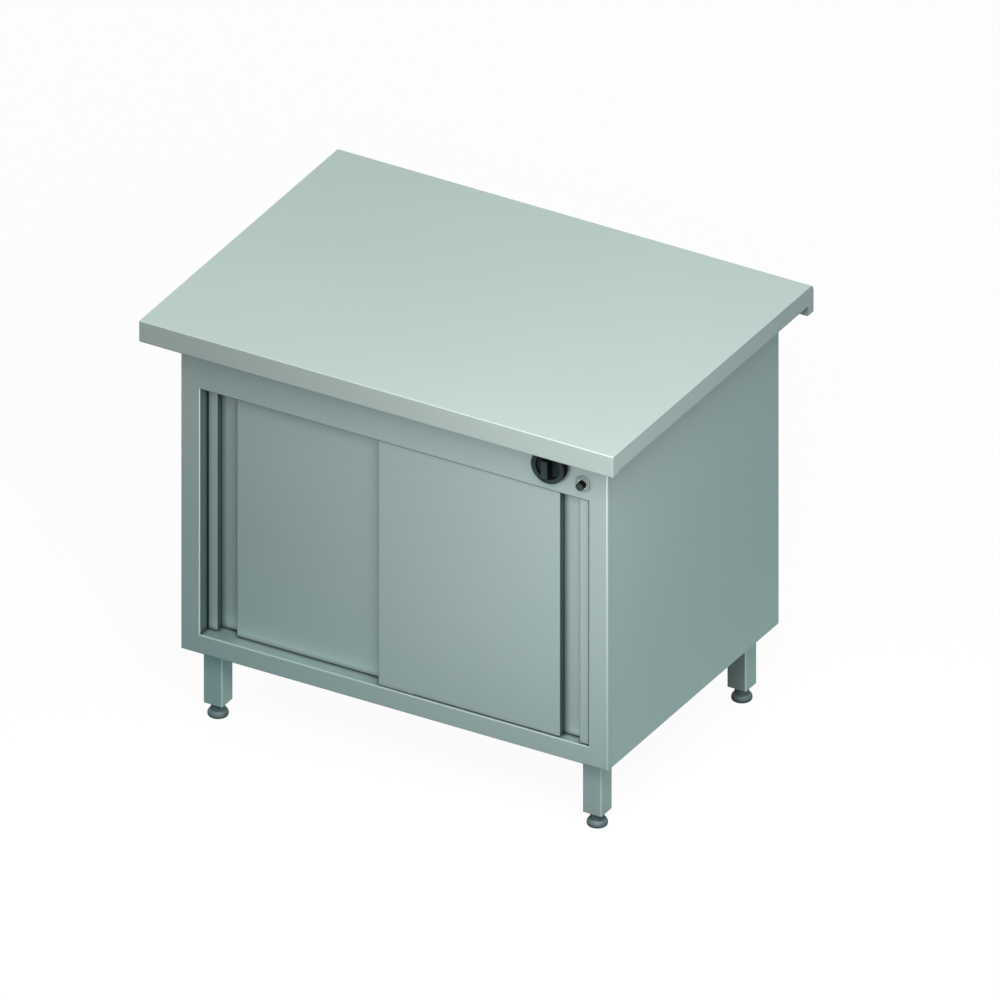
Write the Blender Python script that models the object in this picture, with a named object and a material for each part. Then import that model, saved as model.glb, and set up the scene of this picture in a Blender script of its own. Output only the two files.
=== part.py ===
"""Heated plate warmer table: a stainless cabinet with two sliding doors under a folded worktop.

Metres, Z up. X runs along the front to the right, Y to the back. The origin is on the floor,
under the middle of the worktop. Every moving piece has its origin, or its parent empty, on the
line that it moves on.
"""

import bmesh
import bpy
from math import acos, cos, pi, sin, sqrt, tan, tau
from mathutils import Vector

# Clearances
GAP = 0.0003
OVERRUN = 0.004
RUN_GAP = 0.0005

# Overall sizes
WORKTOP_WIDTH = 1.000
WORKTOP_DEPTH = 0.734
OVERALL_HEIGHT = 0.860
SIDE_OVERHANG = 0.050
FRONT_OVERHANG = 0.066
BACK_OVERHANG = 0.040
UNDERSIDE_HEIGHT = 0.150
FOOT_HEIGHT = 0.030

# Worktop
TOP_SHEET = 0.0015
TOP_BEND = 0.003
TOP_BACK_BEND = 0.014
TOP_CORNER = 0.002
FRONT_RIM_HEIGHT = 0.045
SIDE_FLANGE_HEIGHT = 0.040
REAR_RIM_HEIGHT = 0.060
RIM_DEPTH = 0.020
RIM_SLIT = 0.003
BOARD_THICKNESS = 0.018
BOARD_INSET = 0.0015

# Cabinet sheets
CASING_SHEET = 0.0015
CASING_BEND = 0.003
CORNER_RETURN = 0.015
BACK_RETURN = 0.020
STILE_WIDTH = 0.040
SILL_HEIGHT = 0.040
HEAD_RAIL_HEIGHT = 0.1319
BACK_SHEET = 0.0012
BASE_FLANGE = 0.015

# Doors
DOOR_SHEET = 0.001
DOOR_BEND = 0.0014
DOOR_OVERLAP = 0.072
DOOR_SIDE_GAP = 0.002
DOOR_FOOT_GAP = 0.002
DOOR_HEAD_LAP = 0.004
DOOR_SETBACK = 0.005
LANE_GAP = 0.003
JAMB_MARGIN = 0.003
PULL_FLANGE = 0.0195
PULL_WIDTH = 0.041
PULL_DEPTH = 0.0175
PULL_BACK_GAP = 0.0005
DOOR_TRAVEL = 0.366

# Door track, hangers and rollers
TRACK_SHEET = 0.0015
TRACK_GAP = 0.0043
TRACK_END_GAP = 0.026
SLOT_WIDTH = 0.006
ROLLER_RADIUS = 0.007
ROLLER_WIDTH = 0.0044
ROLLER_BORE = 0.0023
ROLLER_CHAMFER = 0.0008
ROLLER_HEADROOM = 0.0011
AXLE_RADIUS = 0.002
COLLAR_RADIUS = 0.0032
AXLE_HEAD = 0.0008
HANGER_SHEET = 0.002
HANGER_FOOT_SHEET = 0.0015
HANGER_WIDTH = 0.024
HANGER_FOOT_DEPTH = 0.008
HANGER_ABOVE_AXLE = 0.005
INNER_HANGER_INSET = 0.050
OUTER_HANGER_INSET = 0.078
GUIDE_FIN_LENGTH = 0.008
GUIDE_FIN_WIDTH = 0.006
GUIDE_FIN_REACH = 0.007
GUIDE_FIN_OFFSET = 0.028
GUIDE_PLAY = 0.00075
GUIDE_BASE = 0.0012
GUIDE_MARGIN = 0.004

# Liner and insulation
LINER_SHEET = 0.001
LINER_BEND = 0.002
LINER_FLANGE = 0.015
LINER_HEAD = 0.027
BACK_CAVITY = 0.034
DECK_SHEET = 0.0015
DECK_FLANGE = 0.015
DECK_SLOT_LENGTH = 0.060
DECK_SLOT_WIDTH = 0.010
DECK_SLOT_PITCH_X = 0.090
DECK_SLOT_PITCH_Y = 0.120
DECK_BORDER = 0.060
WOOL_EDGE = 0.003
TOP_WOOL_THICKNESS = 0.035
SERVICE_BAY_WIDTH = 0.150
TOP_WOOL_INSET = 0.015

# Middle shelf
SHELF_HEIGHT = 0.258
SHELF_SHEET = 0.0012
SHELF_FLANGE = 0.025
SHELF_SIDE_GAP = 0.006
SHELF_FRONT_GAP = 0.015
SHELF_BACK_GAP = 0.008
SHELF_RAIL_WIDTH = 0.018
SHELF_RAIL_HEIGHT = 0.030

# Heater
HEATER_RADIUS = 0.004
HEATER_LIFT = 0.018
HEATER_SIDE_MARGIN = 0.080
HEATER_PITCH = 0.120
HEATER_RUNS = 4
BRACKET_SHEET = 0.002
BRACKET_FOOT = 0.014
BRACKET_MARGIN = 0.016
BRACKET_SET = 0.200

# Legs and feet
LEG_SIZE = 0.040
LEG_WALL = 0.0015
LEG_CORNER = 0.003
LEG_INSET = 0.030
INSERT_HEIGHT = 0.020
SPINDLE_RADIUS = 0.005
SPINDLE_LENGTH = 0.042
FOOT_RADIUS = 0.0198
FOOT_SOLE_RADIUS = 0.0175
FOOT_EDGE = 0.0045
FOOT_NECK_RADIUS = 0.0134
FOOT_WAIST_RADIUS = 0.0127
FOOT_SHOULDER = 0.014
FOOT_WAIST_RISE = 0.0015
FOOT_NECK_RISE = 0.0006

# Thermostat and knob
KNOB_FROM_SIDE = 0.117
KNOB_ABOVE_OPENING = 0.058
KNOB_RADIUS = 0.035
KNOB_STANDOFF = 0.004
KNOB_THICKNESS = 0.013
KNOB_EDGE = 0.0015
KNOB_DISH_RADIUS = 0.0249
KNOB_DISH_DEPTH = 0.0048
KNOB_DISH_DRAFT = 0.0004
GRIP_WIDTH = 0.0137
GRIP_REACH = 0.0249
GRIP_TOP_REACH = 0.0183
GRIP_HEIGHT = 0.0127
GRIP_EDGE = 0.0008
GRIP_CORNER = 0.002
GRIP_SINK = 0.0068
STEM_RADIUS = 0.003
STEM_FLAT = 0.0008
STEM_IN_KNOB = 0.0073
STEM_BEHIND_RAIL = 0.0192
THERMOSTAT_WIDTH = 0.036
THERMOSTAT_HEIGHT = 0.034
THERMOSTAT_DEPTH = 0.038
THERMOSTAT_BEVEL = 0.002
BLADE_LENGTH = 0.009
BLADE_PITCH = 0.009
BLADE_WIDTH = 0.0063
BLADE_SHEET = 0.0008
CAPILLARY_RADIUS = 0.0012
CAPILLARY_INSET = 0.0095
CAPILLARY_BEND = 0.007
CAPILLARY_LEAD = 0.014
BULB_RADIUS = 0.0035
BULB_LENGTH = 0.090
BULB_DROP = 0.006

# Overheat limiter and its reset button
BUTTON_FROM_SIDE = 0.051
BUTTON_ABOVE_OPENING = 0.034
BUTTON_RADIUS = 0.008
BUTTON_REACH = 0.0145
BUTTON_EDGE = 0.0008
BUTTON_TRAVEL = 0.003
BUTTON_TAIL = 0.006
NECK_WALL = 0.0017
NECK_REACH = 0.0028
NUT_ACROSS_FLATS = 0.028
NUT_THICKNESS = 0.0018
LIMITER_RADIUS = 0.012
LIMITER_DEPTH = 0.030

# Supply fittings on the back
GLAND_FROM_SIDE = 0.070
GLAND_ABOVE_OPENING = 0.062
GLAND_NECK_RADIUS = 0.008
GLAND_HEX = 0.022
GLAND_HEX_THICKNESS = 0.005
GLAND_DOME_RADIUS = 0.0095
GLAND_DOME_LENGTH = 0.013
GLAND_MOUTH_RADIUS = 0.0045
GLAND_LIP = 0.0022
GLAND_DOME_ROUND = 0.0025
GLAND_TAIL = 0.009
STUD_FROM_SIDE = 0.070
STUD_ABOVE_UNDERSIDE = 0.055
STUD_RADIUS = 0.003
STUD_REACH = 0.014
STUD_TAIL = 0.006
STUD_HEX = 0.010
STUD_HEX_THICKNESS = 0.005
TERMINAL_WIDTH = 0.060
TERMINAL_DEPTH = 0.022
TERMINAL_HEIGHT = 0.018
TERMINAL_SLOT = 0.008
TERMINAL_WAYS = 3
TERMINAL_FROM_BACK = 0.040

# Smoothness of bends and round pieces
BEND_STEPS = 3
HOLE_STEPS = 20
KNOB_STEPS = 40
BUTTON_STEPS = 24
FOOT_STEPS = 24
AXLE_STEPS = 12
STEM_STEPS = 12
NOTCH_STEPS = 6
HEATER_TURN_STEPS = 8
SMOOTH_ANGLE = 0.6

# Places worked out from the sizes above
TOP_Z = OVERALL_HEIGHT
TOP_X = WORKTOP_WIDTH / 2
TOP_Y = WORKTOP_DEPTH / 2
SIDE_X = TOP_X - SIDE_OVERHANG
FRONT_Y = -TOP_Y + FRONT_OVERHANG
BACK_Y = TOP_Y - BACK_OVERHANG
BASE_Z = UNDERSIDE_HEIGHT
BOARD_TOP = TOP_Z - TOP_SHEET - GAP
BOARD_BOTTOM = BOARD_TOP - BOARD_THICKNESS
CASING_TOP = BOARD_BOTTOM - GAP
SILL_Z = BASE_Z + SILL_HEIGHT
HEAD_Z = CASING_TOP - HEAD_RAIL_HEIGHT
OPENING_X = SIDE_X - STILE_WIDTH
RAIL_BACK = FRONT_Y + CASING_SHEET

DOOR_THICKNESS = PULL_DEPTH + PULL_BACK_GAP + 2 * DOOR_SHEET
LANE_PITCH = DOOR_THICKNESS + LANE_GAP
JAMB_DEPTH = DOOR_SETBACK + 2 * DOOR_THICKNESS + LANE_GAP + JAMB_MARGIN
JAMB_Y = FRONT_Y + JAMB_DEPTH
DOOR_OUTER_X = OPENING_X - DOOR_SIDE_GAP
DOOR_INNER_X = -DOOR_OVERLAP / 2
DOOR_BOTTOM = SILL_Z + DOOR_FOOT_GAP
DOOR_TOP = HEAD_Z + DOOR_HEAD_LAP

TRACK_BOTTOM = DOOR_TOP + TRACK_GAP
LIP_TOP = TRACK_BOTTOM + TRACK_SHEET
ROLLER_Z = LIP_TOP + GAP + ROLLER_RADIUS
TRACK_UNDER = ROLLER_Z + ROLLER_RADIUS + ROLLER_HEADROOM
TRACK_TOP = TRACK_UNDER + TRACK_SHEET
TRACK_X = OPENING_X - TRACK_END_GAP
LIP_WIDTH = LANE_PITCH / 2 - TRACK_SHEET / 2 - SLOT_WIDTH / 2
ROLLER_OFFSET = SLOT_WIDTH / 2 + LIP_WIDTH / 2
INNER_HANGER_X = DOOR_INNER_X + INNER_HANGER_INSET
OUTER_HANGER_X = DOOR_OUTER_X - OUTER_HANGER_INSET

LINER_FRONT = JAMB_Y + GAP
LINER_X = OPENING_X
LINER_BACK = BACK_Y - CASING_SHEET - GAP - BACK_SHEET - BACK_CAVITY
LINER_TOP = HEAD_Z + LINER_HEAD
LINER_FOOT = BASE_Z + CASING_SHEET + GAP
CEILING_Z = HEAD_Z
SHELF_Z = SILL_Z + SHELF_HEIGHT
LEG_X = SIDE_X - LEG_INSET - LEG_SIZE / 2
LEG_FRONT = FRONT_Y + LEG_INSET + LEG_SIZE / 2
LEG_BACK = BACK_Y - LEG_INSET - LEG_SIZE / 2
KNOB_X = SIDE_X - KNOB_FROM_SIDE
KNOB_Z = HEAD_Z + KNOB_ABOVE_OPENING
BUTTON_X = SIDE_X - BUTTON_FROM_SIDE
BUTTON_Z = HEAD_Z + BUTTON_ABOVE_OPENING

# Looks: colour, roughness, metallic
STEEL = ((0.47, 0.52, 0.50), 0.34, 1.0)
DARK_STEEL = ((0.30, 0.32, 0.32), 0.45, 1.0)
ZINC = ((0.62, 0.64, 0.64), 0.38, 1.0)
BLACK_PLASTIC = ((0.012, 0.014, 0.014), 0.42, 0.0)
NYLON = ((0.75, 0.75, 0.72), 0.50, 0.0)
GREY_PLASTIC = ((0.25, 0.27, 0.27), 0.50, 0.0)
RUBBER = ((0.03, 0.03, 0.03), 0.80, 0.0)
WOOL = ((0.62, 0.55, 0.38), 0.95, 0.0)
BOARD = ((0.55, 0.42, 0.27), 0.75, 0.0)
CERAMIC = ((0.80, 0.78, 0.72), 0.35, 0.0)


# Building blocks

def clear_scene():
    """Removes every object of the scene."""
    for item in list(bpy.data.objects):
        bpy.data.objects.remove(item, do_unlink=True)


def dress(item, look):
    """Gives an object a material of its own."""
    colour, roughness, metallic = look
    made = bpy.data.materials.new(item.name)
    made.use_nodes = True
    shader = made.node_tree.nodes["Principled BSDF"]
    shader.inputs["Base Color"].default_value = (*colour, 1.0)
    shader.inputs["Roughness"].default_value = roughness
    shader.inputs["Metallic"].default_value = metallic
    item.data.materials.append(made)


def hang(item, origin, parent):
    """Places an object's origin, under its parent if it has one."""
    if parent is not None:
        item.parent = parent
        origin = Vector(origin) - parent.location
    item.location = origin
    bpy.context.scene.collection.objects.link(item)


def solid(name, points, faces, look, origin=(0, 0, 0), parent=None):
    """An object from world points and faces, with its faces turned outwards."""
    mesh = bpy.data.meshes.new(name)
    mesh.from_pydata([Vector(point) - Vector(origin) for point in points], [], faces)
    work = bmesh.new()
    work.from_mesh(mesh)
    bmesh.ops.recalc_face_normals(work, faces=work.faces)
    work.to_mesh(mesh)
    work.free()
    mesh.shade_smooth()
    mesh.set_sharp_from_angle(angle=SMOOTH_ANGLE)
    item = bpy.data.objects.new(name, mesh)
    hang(item, origin, parent)
    if look is not None:
        dress(item, look)
    return item


def loft(name, loops, look, closed=False, **place):
    """Skins a row of equal loops. The ends are capped, or joined to each other if closed."""
    count = len(loops[0])
    rows = len(loops)
    points = [point for loop in loops for point in loop]
    faces = []
    for row in range(rows if closed else rows - 1):
        here, there = row * count, (row + 1) % rows * count
        for k in range(count):
            after = (k + 1) % count
            faces.append((here + k, here + after, there + after, there + k))
    if not closed:
        faces += [tuple(range(count)), tuple(range((rows - 1) * count, rows * count))]
    return solid(name, points, faces, look, **place)


def set_along(axis, outline, station):
    """An outline (a, b) set square to an axis; a and b are the other two in X, Y, Z order."""
    if axis == "X":
        return [(station, a, b) for a, b in outline]
    if axis == "Y":
        return [(a, station, b) for a, b in outline]
    return [(a, b, station) for a, b in outline]


def prism(name, axis, outline, low, high, look, **place):
    """An outline carried straight along an axis."""
    loops = [set_along(axis, outline, low), set_along(axis, outline, high)]
    return loft(name, loops, look, **place)


def rectangle(low, high):
    """The four corners of a rectangle from its low and high corner."""
    return [(low[0], low[1]), (high[0], low[1]), (high[0], high[1]), (low[0], high[1])]


def box(name, low, high, look, **place):
    """A plain block from its low and high corner."""
    outline = rectangle(low[:2], high[:2])
    return prism(name, "Z", outline, low[2], high[2], look, **place)


def circle(radius, centre=(0, 0), steps=HOLE_STEPS):
    """A regular outline round a centre."""
    return [
        (centre[0] + radius * cos(tau * k / steps), centre[1] + radius * sin(tau * k / steps))
        for k in range(steps)
    ]


def rounded_rectangle(low, high, radius, steps=BEND_STEPS):
    """A rectangle whose corners are arcs, steps segments each."""
    corners = (
        (high[0] - radius, low[1] + radius, -pi / 2),
        (high[0] - radius, high[1] - radius, 0),
        (low[0] + radius, high[1] - radius, pi / 2),
        (low[0] + radius, low[1] + radius, pi),
    )
    return [
        (x + radius * cos(start + pi / 2 * k / steps), y + radius * sin(start + pi / 2 * k / steps))
        for x, y, start in corners
        for k in range(steps + 1)
    ]


def turned(name, axis, centre, profile, look, steps=HOLE_STEPS, closed=False, **place):
    """A round piece: profile holds (radius, station along the axis) pairs; closed has a bore."""
    loops = [set_along(axis, circle(radius, centre, steps), at) for radius, at in profile]
    return loft(name, loops, look, closed=closed, **place)


def bent_line(points, thickness, bend, steps=BEND_STEPS):
    """The open line through points with each corner bent.

    The sheet lies to the left of the line, so a left turn is bent on its outside to the full
    radius, and a right turn on its inside, a thickness tighter.
    """
    line = [Vector(points[0])]
    for before, corner, after in zip(points, points[1:], points[2:]):
        corner = Vector(corner)
        back = (Vector(before) - corner).normalized()
        ahead = (Vector(after) - corner).normalized()
        left_turn = -back.x * ahead.y + back.y * ahead.x > 0
        radius = bend if left_turn else bend - thickness
        half = back.angle(ahead) / 2
        centre = corner + (back + ahead).normalized() * (radius / sin(half))
        start = corner + back * (radius / tan(half)) - centre
        sweep = pi - 2 * half
        for k in range(steps + 1):
            turn = sweep * k / steps * (1 if left_turn else -1)
            line.append(centre + Vector((
                start.x * cos(turn) - start.y * sin(turn),
                start.x * sin(turn) + start.y * cos(turn),
            )))
    line.append(Vector(points[-1]))
    return line


def left_of(line, distance):
    """The line moved to its left by a distance, mitred at its points."""
    moved = []
    steps = [(after - before).normalized() for before, after in zip(line, line[1:])]
    for point, into, out in zip(line, [steps[0], *steps], [*steps, steps[-1]]):
        first = Vector((-into.y, into.x))
        second = Vector((-out.y, out.x))
        moved.append(point + (first + second) * (distance / (1 + first.dot(second))))
    return moved


def folded(points, thickness, bend, steps=BEND_STEPS):
    """The closed outline of a folded sheet, seen along its folds."""
    line = bent_line(points, thickness, bend, steps)
    return [tuple(point) for point in line + left_of(line, thickness)[::-1]]


def inset_rectangle(low, high, inset, z):
    """A level rectangle drawn in by an inset on all sides."""
    return set_along("Z", rectangle(
        (low[0] + inset, low[1] + inset), (high[0] - inset, high[1] - inset)), z)


def pan(name, low, high, flange_up, thickness, bend, look, **place):
    """A sheet with a flange folded the same way along each of its four sides."""
    face, rim = (low[2], high[2]) if flange_up else (high[2], low[2])
    fold = [(2 * bend, face), (0, face), (0, rim)]
    # The sheet lies to the left of the line, so a flange that stands up is drawn from its edge.
    outer = bent_line(fold[::-1] if flange_up else fold, thickness, bend)
    inner = left_of(outer, thickness)
    if flange_up:
        outer.reverse()
        inner.reverse()
    line = outer[1:] + inner[:0:-1]
    loops = [inset_rectangle(low, high, point.x, point.y) for point in line]
    return loft(name, loops, look, **place)


def cut(item, cutter):
    """Takes a hidden cutter's shape out of an object."""
    hide(cutter)
    change = item.modifiers.new(cutter.name, "BOOLEAN")
    change.operation = "DIFFERENCE"
    change.solver = "EXACT"
    change.object = cutter


def weld(item, piece):
    """Joins a hidden piece's shape to an object as one body."""
    hide(piece)
    change = item.modifiers.new(piece.name, "BOOLEAN")
    change.operation = "UNION"
    change.solver = "EXACT"
    change.object = piece


def hide(item):
    """Marks an object as a helper of another's shape."""
    item.hide_render = True
    item.display_type = "WIRE"


def drill(item, axis, centre, low, high, radius, steps=HOLE_STEPS):
    """A round hole through an object from one station to another."""
    name = f"{item.name}_hole_{len(item.modifiers)}"
    cut(item, prism(name, axis, circle(radius, centre, steps), low, high, None))


def empty(name, place, parent=None):
    """A carrier that a moving group's pieces hang from."""
    item = bpy.data.objects.new(name, None)
    hang(item, place, parent)
    return item


def mirrored(outline, side):
    """An outline for one side of the cabinet: side is 1 on the right and -1 on the left."""
    return [(side * a, b) for a, b in outline]


def side_name(side):
    """The word for a side."""
    return "right" if side > 0 else "left"


# Worktop

def arc_inset(bend, depth):
    """How far a bent edge is drawn in, a depth below the top face."""
    if depth >= bend:
        return 0
    return bend - sqrt(bend ** 2 - (bend - depth) ** 2)


def worktop():
    """The folded top: a box rim in front, a deeper one behind, a hemmed flange at each side."""
    depths = {bend * (1 - cos(pi / 2 * k / BEND_STEPS))
              for bend in (TOP_BEND, TOP_BACK_BEND) for k in range(BEND_STEPS + 1)}
    loops = []
    for depth in sorted(depths | {REAR_RIM_HEIGHT}):
        side = arc_inset(TOP_BEND, depth)
        back = arc_inset(TOP_BACK_BEND, depth)
        low = (-TOP_X + side, -TOP_Y + side)
        high = (TOP_X - side, TOP_Y - back)
        loops.append(set_along("Z", rounded_rectangle(low, high, TOP_CORNER), TOP_Z - depth))
    top = loft("worktop", loops, STEEL)

    inner_y = TOP_Y - TOP_SHEET
    wall_y = TOP_Y - RIM_DEPTH
    ceiling = TOP_Z - TOP_SHEET
    slit = ceiling - RIM_SLIT
    hem = TOP_Z - SIDE_FLANGE_HEIGHT + TOP_SHEET
    inner_bend = TOP_BACK_BEND - TOP_SHEET
    back_bend = [
        (inner_y - inner_bend * (1 - sin(pi / 2 * k / BEND_STEPS)),
         ceiling - inner_bend * (1 - cos(pi / 2 * k / BEND_STEPS)))
        for k in range(BEND_STEPS + 1)
    ]
    hollow = [
        (-inner_y, TOP_Z - FRONT_RIM_HEIGHT + TOP_SHEET),
        (-inner_y, ceiling),
        *back_bend,
        (inner_y, TOP_Z - REAR_RIM_HEIGHT + TOP_SHEET),
        (wall_y + TOP_SHEET, TOP_Z - REAR_RIM_HEIGHT + TOP_SHEET),
        (wall_y + TOP_SHEET, slit),
        (wall_y, slit),
        (wall_y, hem),
        (-wall_y, hem),
        (-wall_y, slit),
        (-wall_y - TOP_SHEET, slit),
        (-wall_y - TOP_SHEET, TOP_Z - FRONT_RIM_HEIGHT + TOP_SHEET),
    ]
    inner_x = TOP_X - TOP_SHEET
    cut(top, prism("top_hollow", "X", hollow, -inner_x, inner_x, None))
    floor = TOP_Z - REAR_RIM_HEIGHT - OVERRUN
    hem_x = TOP_X - RIM_DEPTH
    cut(top, box("top_mouth", (-hem_x, -wall_y, floor), (hem_x, wall_y, hem + OVERRUN), None))
    flange_z = TOP_Z - SIDE_FLANGE_HEIGHT
    over_x = TOP_X + OVERRUN
    cut(top, box("top_sides", (-over_x, -wall_y, floor), (over_x, wall_y, flange_z), None))
    front_z = TOP_Z - FRONT_RIM_HEIGHT
    over_y = TOP_Y + OVERRUN
    cut(top, box("top_front", (-over_x, -over_y, floor), (over_x, -wall_y + OVERRUN, front_z), None))

    board_x = inner_x - BOARD_INSET
    board_y = wall_y - BOARD_INSET
    box("worktop_board", (-board_x, -board_y, BOARD_BOTTOM), (board_x, board_y, BOARD_TOP), BOARD)


# Cabinet

def front_frame():
    """The welded front: corner returns, stiles, rails and the jambs turned in round the opening.

    Its section is drawn across a stile. Points in its outer half ride on the cabinet's outline
    and those in its inner half on the opening's, so the wider top rail keeps the same bends.
    """
    face = [(0, FRONT_Y + CORNER_RETURN), (0, FRONT_Y), (STILE_WIDTH, FRONT_Y), (STILE_WIDTH, JAMB_Y)]
    outer = bent_line(face, CASING_SHEET, CASING_BEND)
    section = outer + left_of(outer, CASING_SHEET)[::-1]
    loops = []
    for point in section:
        if point.x < STILE_WIDTH / 2:
            edge = point.x
            low, high = (-SIDE_X + edge, BASE_Z + edge), (SIDE_X - edge, CASING_TOP - edge)
        else:
            edge = STILE_WIDTH - point.x
            low, high = (-OPENING_X - edge, SILL_Z - edge), (OPENING_X + edge, HEAD_Z + edge)
        loops.append(set_along("Y", rectangle(low, high), point.y))
    frame = loft("front_frame", loops, STEEL, closed=True)

    # The doors hang behind the top rail, so it has no deep return.
    head_x = OPENING_X + CASING_SHEET + OVERRUN
    head_low = (-head_x, RAIL_BACK + GAP, HEAD_Z - GAP)
    head_high = (head_x, JAMB_Y + OVERRUN, HEAD_Z + CASING_BEND + OVERRUN)
    cut(frame, box("head_return", head_low, head_high, None))
    ends = (FRONT_Y - OVERRUN, RAIL_BACK + OVERRUN)
    drill(frame, "Y", (KNOB_X, KNOB_Z), *ends, STEM_RADIUS + 2 * RUN_GAP)
    drill(frame, "Y", (BUTTON_X, BUTTON_Z), *ends, BUTTON_RADIUS + RUN_GAP + NECK_WALL + GAP)


def side_panels():
    """A flat side with its back edge turned in, one for each side."""
    start = FRONT_Y + CORNER_RETURN + GAP
    for side in (1, -1):
        line = [(SIDE_X, start), (SIDE_X, BACK_Y), (SIDE_X - BACK_RETURN, BACK_Y)]
        outline = mirrored(folded(line, CASING_SHEET, CASING_BEND), side)
        prism(f"{side_name(side)}_side_panel", "Z", outline, BASE_Z, CASING_TOP, STEEL)


def base_and_back():
    """The base pan under the heater and the back panel with the supply fittings' holes."""
    inner_x = SIDE_X - CASING_SHEET - GAP
    back_face = BACK_Y - CASING_SHEET - GAP
    low = (-inner_x, FRONT_Y + CORNER_RETURN + GAP, BASE_Z)
    high = (inner_x, back_face - BACK_SHEET - GAP, BASE_Z + BASE_FLANGE)
    pan("base_panel", low, high, True, CASING_SHEET, CASING_BEND, STEEL)

    back_x = SIDE_X - CASING_BEND - GAP
    low = (-back_x, back_face - BACK_SHEET, BASE_Z)
    back = box("back_panel", low, (back_x, back_face, CASING_TOP), STEEL)
    ends = (back_face - BACK_SHEET - OVERRUN, back_face + OVERRUN)
    drill(back, "Y", gland_place(), *ends, GLAND_NECK_RADIUS + GAP)
    drill(back, "Y", stud_place(), *ends, STUD_RADIUS + GAP)


def liner():
    """The inner cabinet: two channel sides, a back, a ceiling pan and the slotted deck."""
    for side in (1, -1):
        line = [
            (LINER_X + LINER_FLANGE, LINER_BACK), (LINER_X, LINER_BACK),
            (LINER_X, LINER_FRONT), (LINER_X + LINER_FLANGE, LINER_FRONT),
        ]
        outline = mirrored(folded(line, LINER_SHEET, LINER_BEND), side)
        prism(f"{side_name(side)}_liner", "Z", outline, LINER_FOOT, LINER_TOP, STEEL)

    wide = LINER_X + LINER_FLANGE
    low = (-wide, LINER_BACK + GAP, LINER_FOOT)
    box("back_liner", low, (wide, LINER_BACK + GAP + LINER_SHEET, LINER_TOP), STEEL)

    inside = LINER_X - GAP
    low = (-inside, LINER_FRONT, CEILING_Z)
    high = (inside, LINER_BACK, CEILING_Z + LINER_FLANGE)
    ceiling = pan("liner_ceiling", low, high, True, LINER_SHEET, LINER_BEND, STEEL)
    ends = (CEILING_Z - OVERRUN, CEILING_Z + LINER_BEND + OVERRUN)
    drill(ceiling, "Z", capillary_drop(), *ends, CAPILLARY_RADIUS + GAP)

    low = (-inside, LINER_FRONT, SILL_Z - DECK_FLANGE)
    deck = pan("heated_deck", low, (inside, LINER_BACK, SILL_Z), False, DECK_SHEET, LINER_BEND, STEEL)
    cut(deck, deck_slots())


def spread(span, pitch):
    """Places a pitch apart that fill a span, centred on it."""
    count = max(1, int(span / pitch) + 1)
    return [(k - (count - 1) / 2) * pitch for k in range(count)]


def deck_slots():
    """One cutter that holds every warm-air slot of the deck, in rows."""
    middle = (LINER_FRONT + LINER_BACK) / 2
    span_x = 2 * (LINER_X - DECK_BORDER) - DECK_SLOT_LENGTH
    span_y = LINER_BACK - LINER_FRONT - 2 * DECK_BORDER
    corner = DECK_SLOT_WIDTH / 2 - GAP
    points, faces = [], []
    for x in spread(span_x, DECK_SLOT_PITCH_X):
        for y in spread(span_y, DECK_SLOT_PITCH_Y):
            low = (x - DECK_SLOT_LENGTH / 2, middle + y - DECK_SLOT_WIDTH / 2)
            high = (x + DECK_SLOT_LENGTH / 2, middle + y + DECK_SLOT_WIDTH / 2)
            outline = rounded_rectangle(low, high, corner, 1)
            start, count = len(points), len(outline)
            points += set_along("Z", outline, SILL_Z - DECK_SHEET - OVERRUN)
            points += set_along("Z", outline, SILL_Z + OVERRUN)
            lower = range(start, start + count)
            faces += [tuple(lower), tuple(k + count for k in lower)]
            for k in range(count):
                here, after = start + k, start + (k + 1) % count
                faces.append((here, after, after + count, here + count))
    return solid("deck_slots", points, faces, None)


def insulation():
    """The wool slabs between the liner and the casing."""
    low_y, high_y = LINER_FRONT + WOOL_EDGE, LINER_BACK - WOOL_EDGE
    foot = BASE_Z + BASE_FLANGE + GAP
    near, far = LINER_X + LINER_FLANGE + GAP, SIDE_X - CASING_SHEET - GAP
    for side in (1, -1):
        edges = sorted((side * near, side * far))
        low, high = (edges[0], low_y, foot), (edges[1], high_y, LINER_TOP - WOOL_EDGE)
        box(f"{side_name(side)}_insulation", low, high, WOOL)
    face = BACK_Y - CASING_SHEET - GAP - BACK_SHEET - GAP
    wide = LINER_X + LINER_FLANGE - WOOL_EDGE
    low = (-wide, LINER_BACK + LINER_SHEET + 2 * GAP, foot)
    slab = box("back_insulation", low, (wide, face, LINER_TOP - WOOL_EDGE), WOOL)
    drill(slab, "Y", stud_place(), face - STUD_TAIL, face + OVERRUN, STUD_RADIUS + GAP)
    edge = LINER_SHEET + LINER_BEND + TOP_WOOL_INSET
    low = (-LINER_X + edge, LINER_FRONT + edge, CEILING_Z + LINER_SHEET + GAP)
    high = (LINER_X - SERVICE_BAY_WIDTH, LINER_BACK - edge, low[2] + TOP_WOOL_THICKNESS)
    box("top_insulation", low, high, WOOL)


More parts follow.
